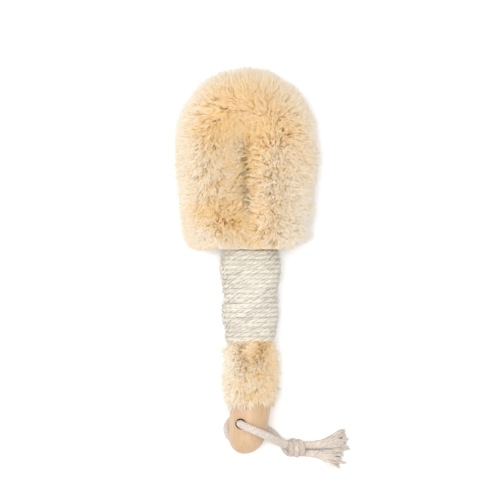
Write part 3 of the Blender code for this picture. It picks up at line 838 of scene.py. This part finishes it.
# ---------------------------------------------------------------- the neck and its binding
NECK_SEED = 12
NECK_LAYERS = 4
NECK_LAYER_STEP = 0.0005
NECK_LAYER_FIBRES = 300
NECK_FIBRE_RADIUS = 0.00022
NECK_PRESS = 0.0003  # how far the squeezed bristles stand up between the twine's turns
BINDING = ["sisal_binding"]
TWINE_LINE_SEED, TWINE_SEED = 31, 44
TWINE_PLIES = 3
TWINE_SINK = 0.0003  # how far the soft twine presses into the bristles under it
TWINE_END_DIP = 0.0030  # how deep the twine's two ends are tucked in
TWINE_END_TURNS = 0.12
PLY_OFFSET = 0.00086
PLY_TWIST = 0.0118  # the length in which the plies go round once
YARNS_PER_PLY = 8
YARN_OFFSET = 0.00054
YARN_RADIUS = 0.00032
YARN_TWIST = 0.021
POINTS_PER_TURN = 84
PRESSED_COUNT = 10
PRESSED_RADIUS = 0.00026
PRESSED_SINK = 0.00015
PRESSED_WIDTH = 0.0019
PRESSED_LIFT, PRESSED_DRIFT = 0.00030, 0.00034
HAIR_COUNT = 1500
HAIR_LENGTHS = (0.0022, 0.0065)
HAIR_STAND = 0.0004  # how far the hairs usually stand off the twine
HAIR_RADII = np.array([8, 9, 8, 5]) * 1e-5
LONG_HAIRS = (  # root, middle and tip
    ((0.0195, -0.0072, 0.0215), (0.0216, -0.0085, 0.0222), (0.0203, -0.0140, 0.0216)),
    ((0.0190, -0.0060, 0.0240), (0.0222, -0.0088, 0.0236), (0.0198, -0.0130, 0.0240)),
)


def binding_half_width(y):
    """The binding's outer half width, smooth between the places where it was set."""
    y = np.asarray(y, float)
    stations, widths = np.array(BINDING_SHAPE_Y), np.array(BINDING_HALF_WIDTH)
    i = np.clip(np.searchsorted(stations, y) - 1, 0, len(stations) - 2)
    t = np.clip((y - stations[i]) / (stations[i + 1] - stations[i]), 0, 1)
    return widths[i] + (widths[i + 1] - widths[i]) * (1 - np.cos(math.pi * t)) / 2


def neck_pieces():
    """The bristles squeezed flat under the twine, in layers that run along the neck."""
    rng = np.random.default_rng(NECK_SEED)
    count = NECK_LAYER_FIBRES * NECK_LAYERS
    turn = np.linspace(0, 2 * math.pi, NECK_LAYER_FIBRES, endpoint=False)
    turn = np.tile(turn, NECK_LAYERS) + rng.normal(0, 0.01, count)
    depth = np.repeat(np.arange(NECK_LAYERS), NECK_LAYER_FIBRES)[:, None] * NECK_LAYER_STEP
    y = np.linspace(BINDING_SHAPE_Y[0] - 0.001, HEAD_FOOT_Y + 0.0005, 14)
    width = binding_half_width(y)[None, :]
    inner = width - 2 * TWINE_RADIUS - depth + NECK_PRESS
    high = width * BINDING_FLATNESS - 2 * TWINE_RADIUS - depth + NECK_PRESS
    wander = turn[:, None] + 0.05 * np.sin(y[None, :] * 160 + rng.uniform(0, 6.3, (count, 1)))
    x, z = NECK_X + inner * np.cos(wander), AXIS_HEIGHT + high * np.sin(wander)
    centres = np.stack([x, np.broadcast_to(y, x.shape), z], axis=-1)
    tones = rng.uniform(0.6, 0.98, count)
    nodes = ["neck_bristles_left", "neck_bristles_right"]
    strand_piece("neck_fibres", centres, NECK_FIBRE_RADIUS, tones, SQUEEZED_BRISTLES, nodes)


def twine_line(shift=0.0, sink=TWINE_SINK):
    """The twine's centreline, with the directions out of and along the neck at each point.

    A shifted line runs beside it, shift turns further down.
    """
    rng = np.random.default_rng(TWINE_LINE_SEED)
    top = BINDING_SHAPE_Y[-1] - TWINE_RADIUS
    foot = BINDING_SHAPE_Y[0] + TWINE_RADIUS
    turns = (top - foot) / TWINE_PITCH + 1
    count = round(turns * POINTS_PER_TURN)
    turn = np.linspace(0, turns, count + 1)
    angle = 2 * math.pi * turn
    y = foot + TWINE_PITCH * np.clip(turn - 0.5 - shift, 0, turns - 1)
    y += 0.00016 * smooth_noise(rng, 8, turn * 5.0)
    ends = smoothstep(np.minimum(turn, turns - turn) / TWINE_END_TURNS)
    dip = 0.00012 * smooth_noise(rng, 8, turn * 6.0) - TWINE_END_DIP * (1 - ends)
    width = binding_half_width(y)
    out_x = width - TWINE_RADIUS - sink + dip
    out_z = width * BINDING_FLATNESS - TWINE_RADIUS - sink + dip
    line = np.column_stack([NECK_X + out_x * np.cos(angle), y, AXIS_HEIGHT - out_z * np.sin(angle)])
    outward = unit(np.column_stack([out_z * np.cos(angle), np.zeros_like(y), -out_x * np.sin(angle)]))
    along = unit(np.gradient(line, axis=0))
    outward = unit(outward - np.sum(outward * along, axis=1, keepdims=True) * along)
    return line, outward, np.cross(outward, along), along


def twine_pieces():
    """Three twisted plies, each a bundle of fibre yarns, and the stray hairs that stand off them."""
    rng = np.random.default_rng(TWINE_SEED)
    line, outward, aside, along = twine_line()
    length = length_along(line)
    for ply in range(TWINE_PLIES):
        turn = 2 * math.pi * (length / PLY_TWIST + ply / TWINE_PLIES)
        turn += 0.35 * smooth_noise(rng, 6, length / 0.030)
        spoke = spokes(turn, outward, aside)
        rim = spokes(turn, aside, -outward)
        yarns, across = [], []
        for yarn in range(YARNS_PER_PLY):
            angle = 2 * math.pi * (length / YARN_TWIST + yarn / YARNS_PER_PLY) + rng.normal(0, 0.15)
            offset = YARN_OFFSET * (1 + 0.10 * smooth_noise(rng, 5, length / 0.012))
            arm = spokes(angle, spoke, rim)
            yarns.append(line + PLY_OFFSET * spoke + offset[:, None] * arm)
            across.append(arm)
        tones = (np.arange(YARNS_PER_PLY) + 0.5) / YARNS_PER_PLY
        tones = 0.06 + 0.85 * rng.permutation(tones)
        name = f"binding_ply_{ply + 1}"
        strand_piece(name, np.array(yarns), YARN_RADIUS, tones, TWINE, BINDING, 4, np.array(across))
    pressed_strands(rng)
    twine_hairs(rng, line, outward, aside, along)


def pressed_strands(rng):
    """Strands of the twine that are pressed flat into the grooves between its turns."""
    line, outward, aside, _ = twine_line(shift=0.5, sink=PRESSED_SINK)
    turn = np.linspace(0, 1, len(line))

    def wander(speed):
        return np.array([smooth_noise(rng, 10, turn * speed) for _ in range(PRESSED_COUNT)])

    lift = PRESSED_LIFT * wander(260.0)
    offset = np.linspace(-1, 1, PRESSED_COUNT)[:, None] * PRESSED_WIDTH / 2
    drift = offset + PRESSED_DRIFT * wander(200.0)
    centres = line[None] + aside[None] * drift[..., None] + outward[None] * lift[..., None]
    tones = rng.uniform(0.35, 0.95, PRESSED_COUNT)
    strand_piece("binding_pressed_strands", centres, PRESSED_RADIUS, tones, TWINE, BINDING, sides=4)


def twine_hairs(rng, line, outward, aside, along):
    """Short loose fibres that lie over the turns and stand a little off them."""
    at = rng.integers(4, len(line) - 4, HAIR_COUNT)
    way = np.where(rng.random(HAIR_COUNT) < 0.8, 1.0, -1.0)[:, None]
    slope = rng.normal(0.35, 0.3, HAIR_COUNT)[:, None]
    reach = rng.uniform(*HAIR_LENGTHS, HAIR_COUNT)[:, None]
    stand = np.abs(rng.normal(0, HAIR_STAND, HAIR_COUNT))[:, None]
    root = line[at] + outward[at] * (TWINE_RADIUS * 0.9) + aside[at] * rng.normal(0, 0.0007, (HAIR_COUNT, 1))
    middle = root + way * along[at] * reach * 0.5 + aside[at] * slope * reach * 0.5
    middle += outward[at] * (0.00025 + stand)
    tip = root + along[at] * (way * reach) + aside[at] * slope * reach
    # The tips follow the binding's oval section round the neck.
    centre = np.array([NECK_X, 0.0, AXIS_HEIGHT])
    flat = tip - centre
    span = binding_half_width(tip[:, 1])
    oval = np.sqrt((flat[:, 0] / span) ** 2 + (flat[:, 2] / (span * BINDING_FLATNESS)) ** 2)
    wanted = 1.0 + (stand[:, 0] * 1.5) / span
    tip[:, [0, 2]] = centre[[0, 2]] + flat[:, [0, 2]] * (wanted / oval)[:, None]
    long_hairs = np.array(LONG_HAIRS)
    root, middle, tip = (
        np.concatenate([places, long_hairs[:, i]]) for i, places in enumerate((root, middle, tip))
    )
    tones = np.concatenate([rng.uniform(0.05, 0.95, HAIR_COUNT), [0.9, 0.7]])
    centres = bezier(root, 2 * middle - (root + tip) / 2, tip, (0.0, 0.35, 0.7, 1.0))
    strand_piece("binding_hairs", centres, HAIR_RADII, tones, TWINE, BINDING)


# ---------------------------------------------------------------- the collar
COLLAR_SEED = 77
COLLAR_TUFTS = 3200
COLLAR_TUFT_FIBRES = 9
COLLAR_PARTS = 3  # the meshes that each side's bristles are cut into
COLLAR_SPAN = math.radians(96)  # how far round the neck each side's bristles go, up and down
COLLAR_TOP_RADIUS = 0.0135
COLLAR_FOOT_RADIUS = 0.0150
COLLAR_WAVE = 0.0017  # how far the fringe comes down in waves
COLLAR_FRINGE = 0.0014  # how far the fringe's loosest fibres come below the rest
COLLAR_TONE, COLLAR_TONE_WAVE = 0.30, 0.10
COLLAR_MIDDLE_X, COLLAR_MIDDLE_WIDTH, COLLAR_MIDDLE_TONE = 0.0030, 0.0075, 0.12
# The collar's left side is paler, painted light, and its right side darker, painted shade, as the light
# falls from the left.
COLLAR_LEFT_PAINTED_LIGHT, COLLAR_RIGHT_PAINTED_SHADE = -0.15, 0.10
HANDLE_GAP = 0.0011
# Tufts that stand out of the collar's outline: where their tips are.
STRAY_TUFT_FIBRES = 14
STRAY_TUFTS = (
    (-0.0172, -0.0558, 0.0175),
    (0.0197, -0.0805, 0.0190),
    (-0.0163, -0.0562, 0.0200),
    (0.0162, -0.0905, 0.0215),
)
# How far below the collar's foot its fibres may come, so that the cord can swing: it comes closest
# on the right.
FRINGE_ROOM, RIGHT_FRINGE_ROOM = 0.0030, 0.0004


def handle_radius(y):
    """The handle's radius above its round end."""
    y = np.asarray(y, float)
    t = np.clip((FLARE_TOP_Y - y) / (FLARE_TOP_Y - FLARE_FOOT_Y), 0, 1)
    flared = TANG_RADIUS + (HANDLE_RADIUS - TANG_RADIUS) * (1 - np.cos(math.pi * t)) / 2
    end_centre = HANDLE_END_Y + HANDLE_END_RADIUS
    t = np.clip((FLARE_FOOT_Y - y) / (FLARE_FOOT_Y - end_centre), 0, 1)
    return flared + (HANDLE_END_RADIUS - HANDLE_RADIUS) * (0.35 * t + 0.65 * t * t)


def around_neck(side, turn, radius, y):
    """Points at a radius from the handle's axis; turn is 0 at the side's wire and a right angle on top."""
    return np.column_stack([NECK_X + side * radius * np.cos(turn), y, AXIS_HEIGHT + radius * np.sin(turn)])


def collar_pieces():
    """The roll's two ends below the binding, which stand out round the handle and hang over it."""
    rng = np.random.default_rng(COLLAR_SEED)
    tufts = COLLAR_TUFTS
    share, turn_share = even_scatter(tufts)
    side = np.where(np.arange(tufts) % 2 == 0, 1.0, -1.0)
    turn = COLLAR_SPAN * (2 * turn_share - 1)
    wave = smooth_noise(rng, 7, 2.5 * np.cos(turn) * side, 2.5 * np.sin(turn), 4 * share)
    top = BINDING_SHAPE_Y[0] + 0.0006
    tip_y = top - share * (top - COLLAR_FOOT_Y - COLLAR_FRINGE)
    tip_y = tip_y + COLLAR_WAVE * wave * share + rng.normal(0, COLLAR_FRINGE, tufts) * share
    root_y = tip_y + 0.0008 + 0.0195 * share**2.6
    rise = smoothstep(share / 0.25 + 0.10)
    fall = smoothstep((share - 0.80) / 0.20)
    tip_r = COLLAR_TOP_RADIUS + (COLLAR_RADIUS - COLLAR_TOP_RADIUS) * rise
    tip_r = tip_r - (COLLAR_RADIUS - COLLAR_FOOT_RADIUS) * fall
    tip_r = tip_r * rng.normal(0.935, 0.045, tufts) + 0.0006 * wave
    lean = 0.5 + 0.5 * np.sin(turn) ** 2
    tip_turn = turn + rng.normal(0, 0.10, tufts) * lean + 0.08 * wave

    of = np.repeat(np.arange(tufts), COLLAR_TUFT_FIBRES)
    n = len(of)
    spread = np.where(rng.random(n) < 0.25, 0.0014, 0.0006)
    jitter = rng.normal(0, 1, (n, 3)) * spread[:, None]
    tip_radius = tip_r[of] * rng.normal(1.0, 0.03, n) * np.where(rng.random(n) < SHORT_SHARE, 0.92, 1.0)
    tips = around_neck(side[of], tip_turn[of], tip_radius, tip_y[of]) + jitter
    for tuft, place in enumerate(STRAY_TUFTS):
        first = tuft * STRAY_TUFT_FIBRES
        beside = np.flatnonzero(side[of] == math.copysign(1, place[0]))
        chosen = beside[first : first + STRAY_TUFT_FIBRES]
        tips[chosen] = np.array(place) + rng.normal(0, 0.0007, (STRAY_TUFT_FIBRES, 3))
    tips[:, 2] = np.maximum(tips[:, 2], rng.uniform(0.0004, 0.0014, n))
    lowest = COLLAR_FOOT_Y - np.where(tips[:, 0] > 0.010, RIGHT_FRINGE_ROOM, FRINGE_ROOM)
    tips[:, 1] = lowest + np.abs(tips[:, 1] - lowest)
    root_turn = rng.uniform(-math.pi, math.pi, n)
    stem = rng.uniform(0.0014, 0.0021, n)
    roots = around_neck(side[of], np.zeros(n), np.full(n, NECK_WIRE_OFFSET), root_y[of])
    roots += np.column_stack([np.cos(root_turn), np.zeros(n), np.sin(root_turn)]) * stem[:, None]
    roots[:, 1] += rng.normal(0, 0.0006, n)
    # They pass round the handle first and then stand straight out from it.
    middle_y = 0.35 * roots[:, 1] + 0.65 * tips[:, 1] + rng.normal(0, 0.0008, n)
    clear = np.maximum(handle_radius(middle_y) + HANDLE_GAP, 0.0118)
    controls = around_neck(side[of], turn[of], clear, middle_y) + rng.normal(0, 0.0005, (n, 3))
    controls[:, 2] = np.maximum(controls[:, 2], 0.0010)
    centres = bezier(roots, controls, tips, FIBRE_STEPS)
    tones = COLLAR_TONE + COLLAR_TONE_WAVE * wave[of]
    tones = tones + rng.normal(0, 0.13, tufts)[of] + rng.normal(0, 0.12, n)
    spots = smooth_noise(rng, 9, tips[:, 0] / 0.0022, tips[:, 1] / 0.0030)
    middle = np.exp(-(((tips[:, 0] - COLLAR_MIDDLE_X) / COLLAR_MIDDLE_WIDTH) ** 2))
    tones += COLLAR_MIDDLE_TONE * (middle * (tips[:, 2] > AXIS_HEIGHT)) * (1 + spots)
    # Painted light on the collar's left side and painted shade on its right.
    tones += np.where(tips[:, 0] < -0.008, COLLAR_LEFT_PAINTED_LIGHT, 0.0)
    tones += np.where(tips[:, 0] > 0.010, COLLAR_RIGHT_PAINTED_SHADE, 0.0)
    for name, way in (("left", -1.0), ("right", 1.0)):
        for part in range(COLLAR_PARTS):
            chosen = (side[of] == way) & (of % (2 * COLLAR_PARTS) // 2 == part)
            bristle_piece("collar", name, part, centres[chosen], tones[chosen])


# ---------------------------------------------------------------- the handle
TANG_EDGE = 0.0012
HANDLE_PROFILE_TOP_Y = -0.045
SHARP_EDGE = math.radians(50)


def lean_of(y):
    """How far the handle's end leans towards -X at y."""
    curved = np.maximum(LEAN_TOP_Y - np.maximum(y, LEAN_STRAIGHT_Y), 0)
    straight = np.maximum(LEAN_STRAIGHT_Y - y, 0)
    return LEAN_RATE * (curved**2 + 2 * (LEAN_TOP_Y - LEAN_STRAIGHT_Y) * straight)


def wrapped(name, form, rings, tip=None):
    """An object from a form's rings of corners, closed across its end rings or over the tip."""
    for ring, following in zip(rings, rings[1:]):
        for i in range(len(ring)):
            j = (i + 1) % len(ring)
            form.faces.new((ring[i], ring[j], following[j], following[i]))
    form.faces.new(rings[0][::-1])
    if tip is None:
        form.faces.new(rings[-1])
    else:
        tip = form.verts.new(tip)
        for corner, after in zip(rings[-1], rings[-1][1:] + rings[-1][:1]):
            form.faces.new((corner, after, tip))
    bmesh.ops.recalc_face_normals(form, faces=form.faces)
    mesh = bpy.data.meshes.new(name)
    form.to_mesh(mesh)
    form.free()
    return placed(name, mesh)


def hole_cutter():
    """A drill for the cord hole, whose rounded mouths follow the handle's surface."""
    form = bmesh.new()
    turns = 2 * math.pi * np.arange(HOLE_SIDES) / HOLE_SIDES
    rings = []
    for way, shape in ((-1, HOLE_SHAPE), (1, HOLE_SHAPE[::-1])):
        for depth, radius in shape:
            x, y = HOLE_X + radius * np.cos(turns), HOLE_Y + radius * np.sin(turns)
            surface = np.sqrt(handle_radius(y) ** 2 - (x - NECK_X + lean_of(y)) ** 2)
            z = AXIS_HEIGHT + way * (surface - depth)
            rings.append([form.verts.new(place) for place in zip(x, y, z)])
    return wrapped("hole_cutter", form, rings)


def handle_piece():
    """The turned handle, with a rounded edge round its cord hole."""
    end_centre = HANDLE_END_Y + HANDLE_END_RADIUS
    profile = [(TANG_RADIUS - TANG_EDGE, HANDLE_TOP_Y), (TANG_RADIUS, HANDLE_TOP_Y - TANG_EDGE)]
    profile += [(float(handle_radius(y)), y) for y in np.linspace(HANDLE_PROFILE_TOP_Y, end_centre, 40)]
    for a in np.linspace(0, math.pi / 2, 25)[1:-1]:
        profile.append((HANDLE_END_RADIUS * math.cos(a), end_centre - HANDLE_END_RADIUS * math.sin(a)))
    form = bmesh.new()
    turns = [2 * math.pi * i / HANDLE_SIDES for i in range(HANDLE_SIDES)]
    rings = []
    for radius, y in profile:
        x = NECK_X - float(lean_of(y))
        places = [(x + radius * math.cos(a), y, AXIS_HEIGHT + radius * math.sin(a)) for a in turns]
        rings.append([form.verts.new(place) for place in places])
    tip = (NECK_X - float(lean_of(HANDLE_END_Y)), HANDLE_END_Y, AXIS_HEIGHT)
    made = wrapped("turned_handle", form, rings, tip)

    drill = hole_cutter()
    cut = made.modifiers.new("hole", "BOOLEAN")
    cut.operation = "DIFFERENCE"
    cut.object = drill
    cut.solver = "EXACT"
    solid = bpy.data.meshes.new_from_object(made.evaluated_get(bpy.context.evaluated_depsgraph_get()))
    made.modifiers.clear()
    made.data = solid
    bpy.data.objects.remove(drill)
    solid.materials.clear()
    solid.materials.append(BEECH)
    solid.polygons.foreach_set("material_index", np.zeros(len(solid.polygons), np.int32))
    solid.shade_smooth()
    solid.set_sharp_from_angle(angle=SHARP_EDGE)
    finish_piece(made, "brush", "beech", "handle")


# ---------------------------------------------------------------- the hanging cord
HOLE_SQUEEZE = 0.00015  # how much thinner the cord is where it passes through the handle
HOLE_SQUEEZE_REACH = 0.003
KNOT_SQUEEZE_X, KNOT_SQUEEZE_REACH = 0.002, 0.0056  # beyond the knot's centre, and to each side of it
BRAID_CARRIERS = 6  # yarns that go round each way
BRAID_YARN_SHARE = 0.245  # a yarn's radius as a share of the cord's
BRAID_WAVE_SHARE = 0.125  # how far a yarn goes over and under the ones it crosses
# The braid's core is darker than its yarns: painted shade in the gaps between them.
CORE_PAINTED_SHADE = 0.95
CORD_TONES = (0.1, 0.6)
CORD_SEED, FRAY_SEED, KNOT_SEED = 80, 90, 60
# The knot's yarns reach darker tones than the rest of the cord: painted shade on the knot.
KNOT_PAINTED_SHADE_TONES = (0.15, 1.0)
KNOT_ENDS = (-0.0042, 0.0070)  # along the knot's axis
KNOT_START = math.radians(20)
KNOT_END_FULLNESS = 0.5  # how wide the windings are at the knot's ends, as a share
KNOT_ROUNDING = 0.0022
TAIL_X, TAIL_LENGTH = 0.037, 0.014
TAIL_SWELL = 0.22  # how much wider the loosened cord is at its end
FRAY_THREADS = 330
FRAY_POINTS = 10
FRAY_LOCKS = 4.5  # locks that a fray's threads gather in, to each side of its middle
LOCK_SLOTS = 64  # entries in the tables of the locks' lengths and waves
LOCK_SHARE = 0.6  # how closely the threads keep to their locks
LOCK_LENGTHS, THREAD_LENGTHS = (0.74, 1.06), (0.84, 1.0)
FRAY_HEIGHT = 0.0032
THREAD_RADIUS = 0.00024
THREAD_TONES = (0.0, 0.35)
# The runs: their names, routes, the CAD nodes that they stand for, and where their longest loose
# threads end, in X and Y, with the width over which these fan out.
CORD_RUNS = (
    (
        "cord_front_run",
        FRONT_ROUTE,
        ("hang_cord_front_strand", "hang_cord_upper_tail"),
        (0.0640, -0.1112),
        0.0116,
    ),
    (
        "cord_back_run",
        BACK_ROUTE,
        ("hang_cord_back_strand", "hang_cord_lower_tail"),
        (0.0607, -0.1242),
        0.0118,
    ),
)


def smooth_route(route):
    """Points at even spacing on one smooth curve through the route's points, and the length to each."""
    points = np.array(route)
    padded = np.concatenate([[2 * points[0] - points[1]], points, [2 * points[-1] - points[-2]]])
    dense = []
    for before, here, after, beyond in zip(padded, padded[1:], padded[2:], padded[3:]):
        for t in np.linspace(0, 1, 24, endpoint=False):
            linear = (after - before) * t
            square = (2 * before - 5 * here + 4 * after - beyond) * t**2
            cubic = (3 * here - before - 3 * after + beyond) * t**3
            dense.append(0.5 * (2 * here + linear + square + cubic))
    dense.append(points[-1])
    return at_even_steps(np.array(dense), lambda length: round(length / CORD_STEP) + 1)


def moving_frame(line):
    """Two directions across the line at each point, which don't twist along it."""
    along = unit(np.gradient(line, axis=0))
    start = np.array([0.0, 0.0, 1.0]) if abs(along[0, 2]) < 0.8 else np.array([1.0, 0.0, 0.0])
    first = [unit(start - (start @ along[0]) * along[0])]
    for direction in along[1:]:
        first.append(unit(first[-1] - (first[-1] @ direction) * direction))
    first = np.array(first)
    return first, np.cross(along, first)


def braided_cord(name, line, steps, radius, seed, nodes, sides=6, tones=CORD_TONES):
    """One round braid as a mesh: its yarns, and a darker core that closes the gaps between them and is
    painted shade in those gaps.
    """
    rng = np.random.default_rng(seed)
    radius = np.broadcast_to(radius, len(line))
    first, second = moving_frame(line)
    middle = radius * (1 - BRAID_YARN_SHARE - BRAID_WAVE_SHARE)
    twist = np.concatenate([[0], np.cumsum(np.diff(steps) / middle[1:])])
    centres, across = [], []
    for way in (1, -1):
        for i in range(BRAID_CARRIERS):
            spoke = spokes(2 * math.pi * i / BRAID_CARRIERS + way * twist, first, second)
            wave = way * BRAID_WAVE_SHARE * radius * np.cos(BRAID_CARRIERS * twist)
            centres.append(line + (middle + wave)[:, None] * spoke)
            across.append(spoke)
    yarns = len(centres)
    radii = np.stack([radius * BRAID_YARN_SHARE] * yarns + [radius * (1 - 1.5 * BRAID_YARN_SHARE)])
    # The core takes a darker tone: painted shade between the yarns.
    tones = np.append(rng.uniform(*tones, yarns), CORE_PAINTED_SHADE)
    centres, across = np.array(centres + [line]), np.array(across + [first])
    return strand_piece(name, centres, radii, tones, CORD, nodes, sides, across)


def frayed_end(name, line, seed, reach, width):
    """The cord's loosened threads, which leave it over its last stretch and fan out on the table."""
    rng = np.random.default_rng(seed)
    first, second = moving_frame(line)
    count = FRAY_THREADS
    back = 2 + (rng.random(count) ** 1.4 * 20).astype(int)
    turn = rng.uniform(0, 2 * math.pi, count)
    share = np.sqrt(rng.uniform(0.25, 1.0, count))
    spoke = spokes(turn, first[-back], second[-back])
    root = line[-back] + spoke * (share * CORD_RADIUS * 1.02)[:, None]
    end = line[-1]
    ahead = np.array([reach[0] - end[0], reach[1] - end[1], 0.0])
    length = float(np.linalg.norm(ahead))
    ahead = ahead / length
    aside = np.cross([0, 0, 1], ahead)
    fan = share * (spoke @ aside) + rng.normal(0, 0.20, count)
    lock = np.round(fan * FRAY_LOCKS).astype(int)
    fan = (1 - LOCK_SHARE) * fan + LOCK_SHARE * lock / FRAY_LOCKS
    long = length * rng.uniform(*LOCK_LENGTHS, LOCK_SLOTS)[lock] * rng.uniform(*THREAD_LENGTHS, count)
    long = long * (1 - 0.12 * np.abs(fan))
    tip = end + ahead * long[:, None] + aside * (fan * width / 2)[:, None]
    tip[:, 2] = FRAY_HEIGHT * (1 + 0.8 * spoke[:, 2] * share) + rng.normal(0, 0.0006, count)
    tip[:, 2] = np.maximum(tip[:, 2], 0.0004)
    control = 0.5 * (root + tip) + spoke * (0.0007 * share)[:, None] + rng.normal(0, 0.0006, (count, 3))
    control[:, 2] = np.maximum(control[:, 2], 0.0006)
    t = np.linspace(0, 1, FRAY_POINTS)
    centres = bezier(root, control, tip, t)
    table_size = (LOCK_SLOTS, 1, 3)
    phase = rng.uniform(0, 2 * math.pi, table_size)[lock] + rng.normal(0, 0.4, (count, 1, 3))
    size = rng.normal(0, 0.0007, table_size)[lock] + rng.normal(0, 0.0003, (count, 1, 3))
    wave = size * np.sin(t[None, :, None] * 7 + phase) * t[None, :, None]
    wave[:, :, 2] *= 0.5
    centres = centres + wave
    centres[..., 2] = np.maximum(centres[..., 2], 0.0003)
    radii = np.linspace(THREAD_RADIUS, 0.7 * THREAD_RADIUS, FRAY_POINTS)
    return strand_piece(name, centres, radii, rng.uniform(*THREAD_TONES, count), CORD, sides=5)


def knot_pieces():
    """The overhand knot: two runs of the cord wound side by side, and the lobe where they turn back."""
    axis = np.array([math.cos(KNOT_YAW), math.sin(KNOT_YAW), 0.0])
    cross = np.array([-math.sin(KNOT_YAW), math.cos(KNOT_YAW), 0.0])
    up = np.array([0.0, 0.0, 1.0])
    runs = []
    for run in range(2):
        place = np.linspace(*KNOT_ENDS, 260)
        ends = np.minimum(place - place[0], place[-1] - place)
        fullness = KNOT_END_FULLNESS + (1 - KNOT_END_FULLNESS) * smoothstep(ends / KNOT_ROUNDING)
        angle = 2 * math.pi * (place / KNOT_PITCH) + math.pi * run + KNOT_START
        bowed = place + KNOT_BOW * np.maximum(np.sin(angle), -0.2)
        line = np.array(KNOT_CENTRE) + bowed[:, None] * axis
        line = line + (KNOT_HALF_WIDTH * fullness * np.cos(angle))[:, None] * cross
        line = line + (KNOT_HALF_HEIGHT * fullness * np.sin(angle))[:, None] * up
        runs.append(at_even_steps(line, lambda length: round(length / CORD_STEP)))
    runs.append(smooth_route(KNOT_LOBE))
    names = ("cord_knot_run_1", "cord_knot_run_2", "cord_knot_lobe")
    # The knot's yarns take darker tones: painted shade.
    return [
        braided_cord(name, *run, KNOT_CORD_RADIUS, KNOT_SEED + i, ["hang_cord_knot"], 5, KNOT_PAINTED_SHADE_TONES)
        for i, (name, run) in enumerate(zip(names, runs))
    ]


def cord_pieces():
    """Both runs of the cord, from the hole through the knot to the frayed ends."""
    knot = knot_pieces()
    for i, (name, route, nodes, fray_reach, fray_width) in enumerate(CORD_RUNS):
        line, steps = smooth_route(route)
        from_knot = (line[:, 0] - KNOT_CENTRE[0] - KNOT_SQUEEZE_X) / KNOT_SQUEEZE_REACH
        in_knot = np.exp(-(from_knot**4)) * (line[:, 0] > 0.0)
        from_hole = np.linalg.norm(line[:, :2] - [HOLE_X, HOLE_Y], axis=1) / HOLE_SQUEEZE_REACH
        radius = CORD_RADIUS - (CORD_RADIUS - CORD_IN_KNOT_RADIUS) * in_knot
        radius = radius - HOLE_SQUEEZE * np.exp(-(from_hole**4))
        radius = radius * (1 + TAIL_SWELL * smoothstep((line[:, 0] - TAIL_X) / TAIL_LENGTH))
        cord = braided_cord(name, line, steps, radius, CORD_SEED + i, nodes)
        fray = frayed_end(f"{name}_fray", line, FRAY_SEED + i, fray_reach, fray_width)


# ---------------------------------------------------------------- camera, light and floor
CAMERA_PLACE = (0.0014, 0.0065)
CAMERA_DISTANCE = 1.8
CAMERA_FIELD = 0.3115  # the width that the picture shows at the brush
FLOOR_SIZE = 6.0
LIGHT_TARGET = (0, 0, 0.02)
LIGHTS = {  # place, size, power and colour
    "key": ((-0.55, 0.15, 1.15), 1.0, 7.0, (1.0, 0.99, 0.97)),
    "front": ((-0.04, 0.02, 2.20), 0.8, 17.2, (1, 1, 1)),
    "fill": ((0.6, -0.3, 1.0), 1.0, 2.0, (0.98, 0.99, 1.0)),
}
SURROUNDING_LIGHT = 0.80


def make_camera():
    """Straight above the brush, with a long lens."""
    data = bpy.data.cameras.new("camera")
    data.sensor_width = 36.0
    data.lens = data.sensor_width * CAMERA_DISTANCE / CAMERA_FIELD
    data.clip_end = 20
    camera = placed("camera", data)
    camera.location = (*CAMERA_PLACE, AXIS_HEIGHT + CAMERA_DISTANCE)
    camera.rotation_euler = (0, 0, 0)
    bpy.context.scene.camera = camera


def make_studio():
    """A plain pale floor, a light from the head's left, one from above, a fill and a pale surrounding."""
    for name, (place, size, power, colour) in LIGHTS.items():
        data = bpy.data.lights.new(name, "AREA")
        data.shape = "DISK"
        data.size = size
        data.energy = power
        data.color = colour
        lamp = placed(name, data)
        lamp.location = place
        lamp.rotation_euler = (Vector(LIGHT_TARGET) - Vector(place)).to_track_quat("-Z", "Y").to_euler()
    world = bpy.data.worlds.new("studio")
    bpy.context.scene.world = world
    world.use_nodes = True
    background = world.node_tree.nodes["Background"]
    background.inputs["Color"].default_value = (1.0, 1.0, 1.0, 1.0)
    background.inputs["Strength"].default_value = SURROUNDING_LIGHT
    paper = mottled_material(
        "floor_paper", roughness=0.9, scale=3.0, dark=(246, 246, 246), light=(249, 249, 249), specular=0.1
    )
    bpy.ops.mesh.primitive_plane_add(size=FLOOR_SIZE, location=(0, 0, 0))
    floor = bpy.context.object
    floor.name = "floor"
    floor.data.materials.append(paper)
    bpy.context.scene.view_settings.view_transform = "Standard"


make_camera()
cord_pieces()
make_studio()
handle_piece()
head_pieces()
neck_pieces()
twine_pieces()
collar_pieces()
for node in ("spine_wire_a", "spine_wire_b", "staple_left", "staple_right"):
    for i in range(max(1, len(NODES[node].material_slots))):
        NODES[node].data.materials[i] = STEEL
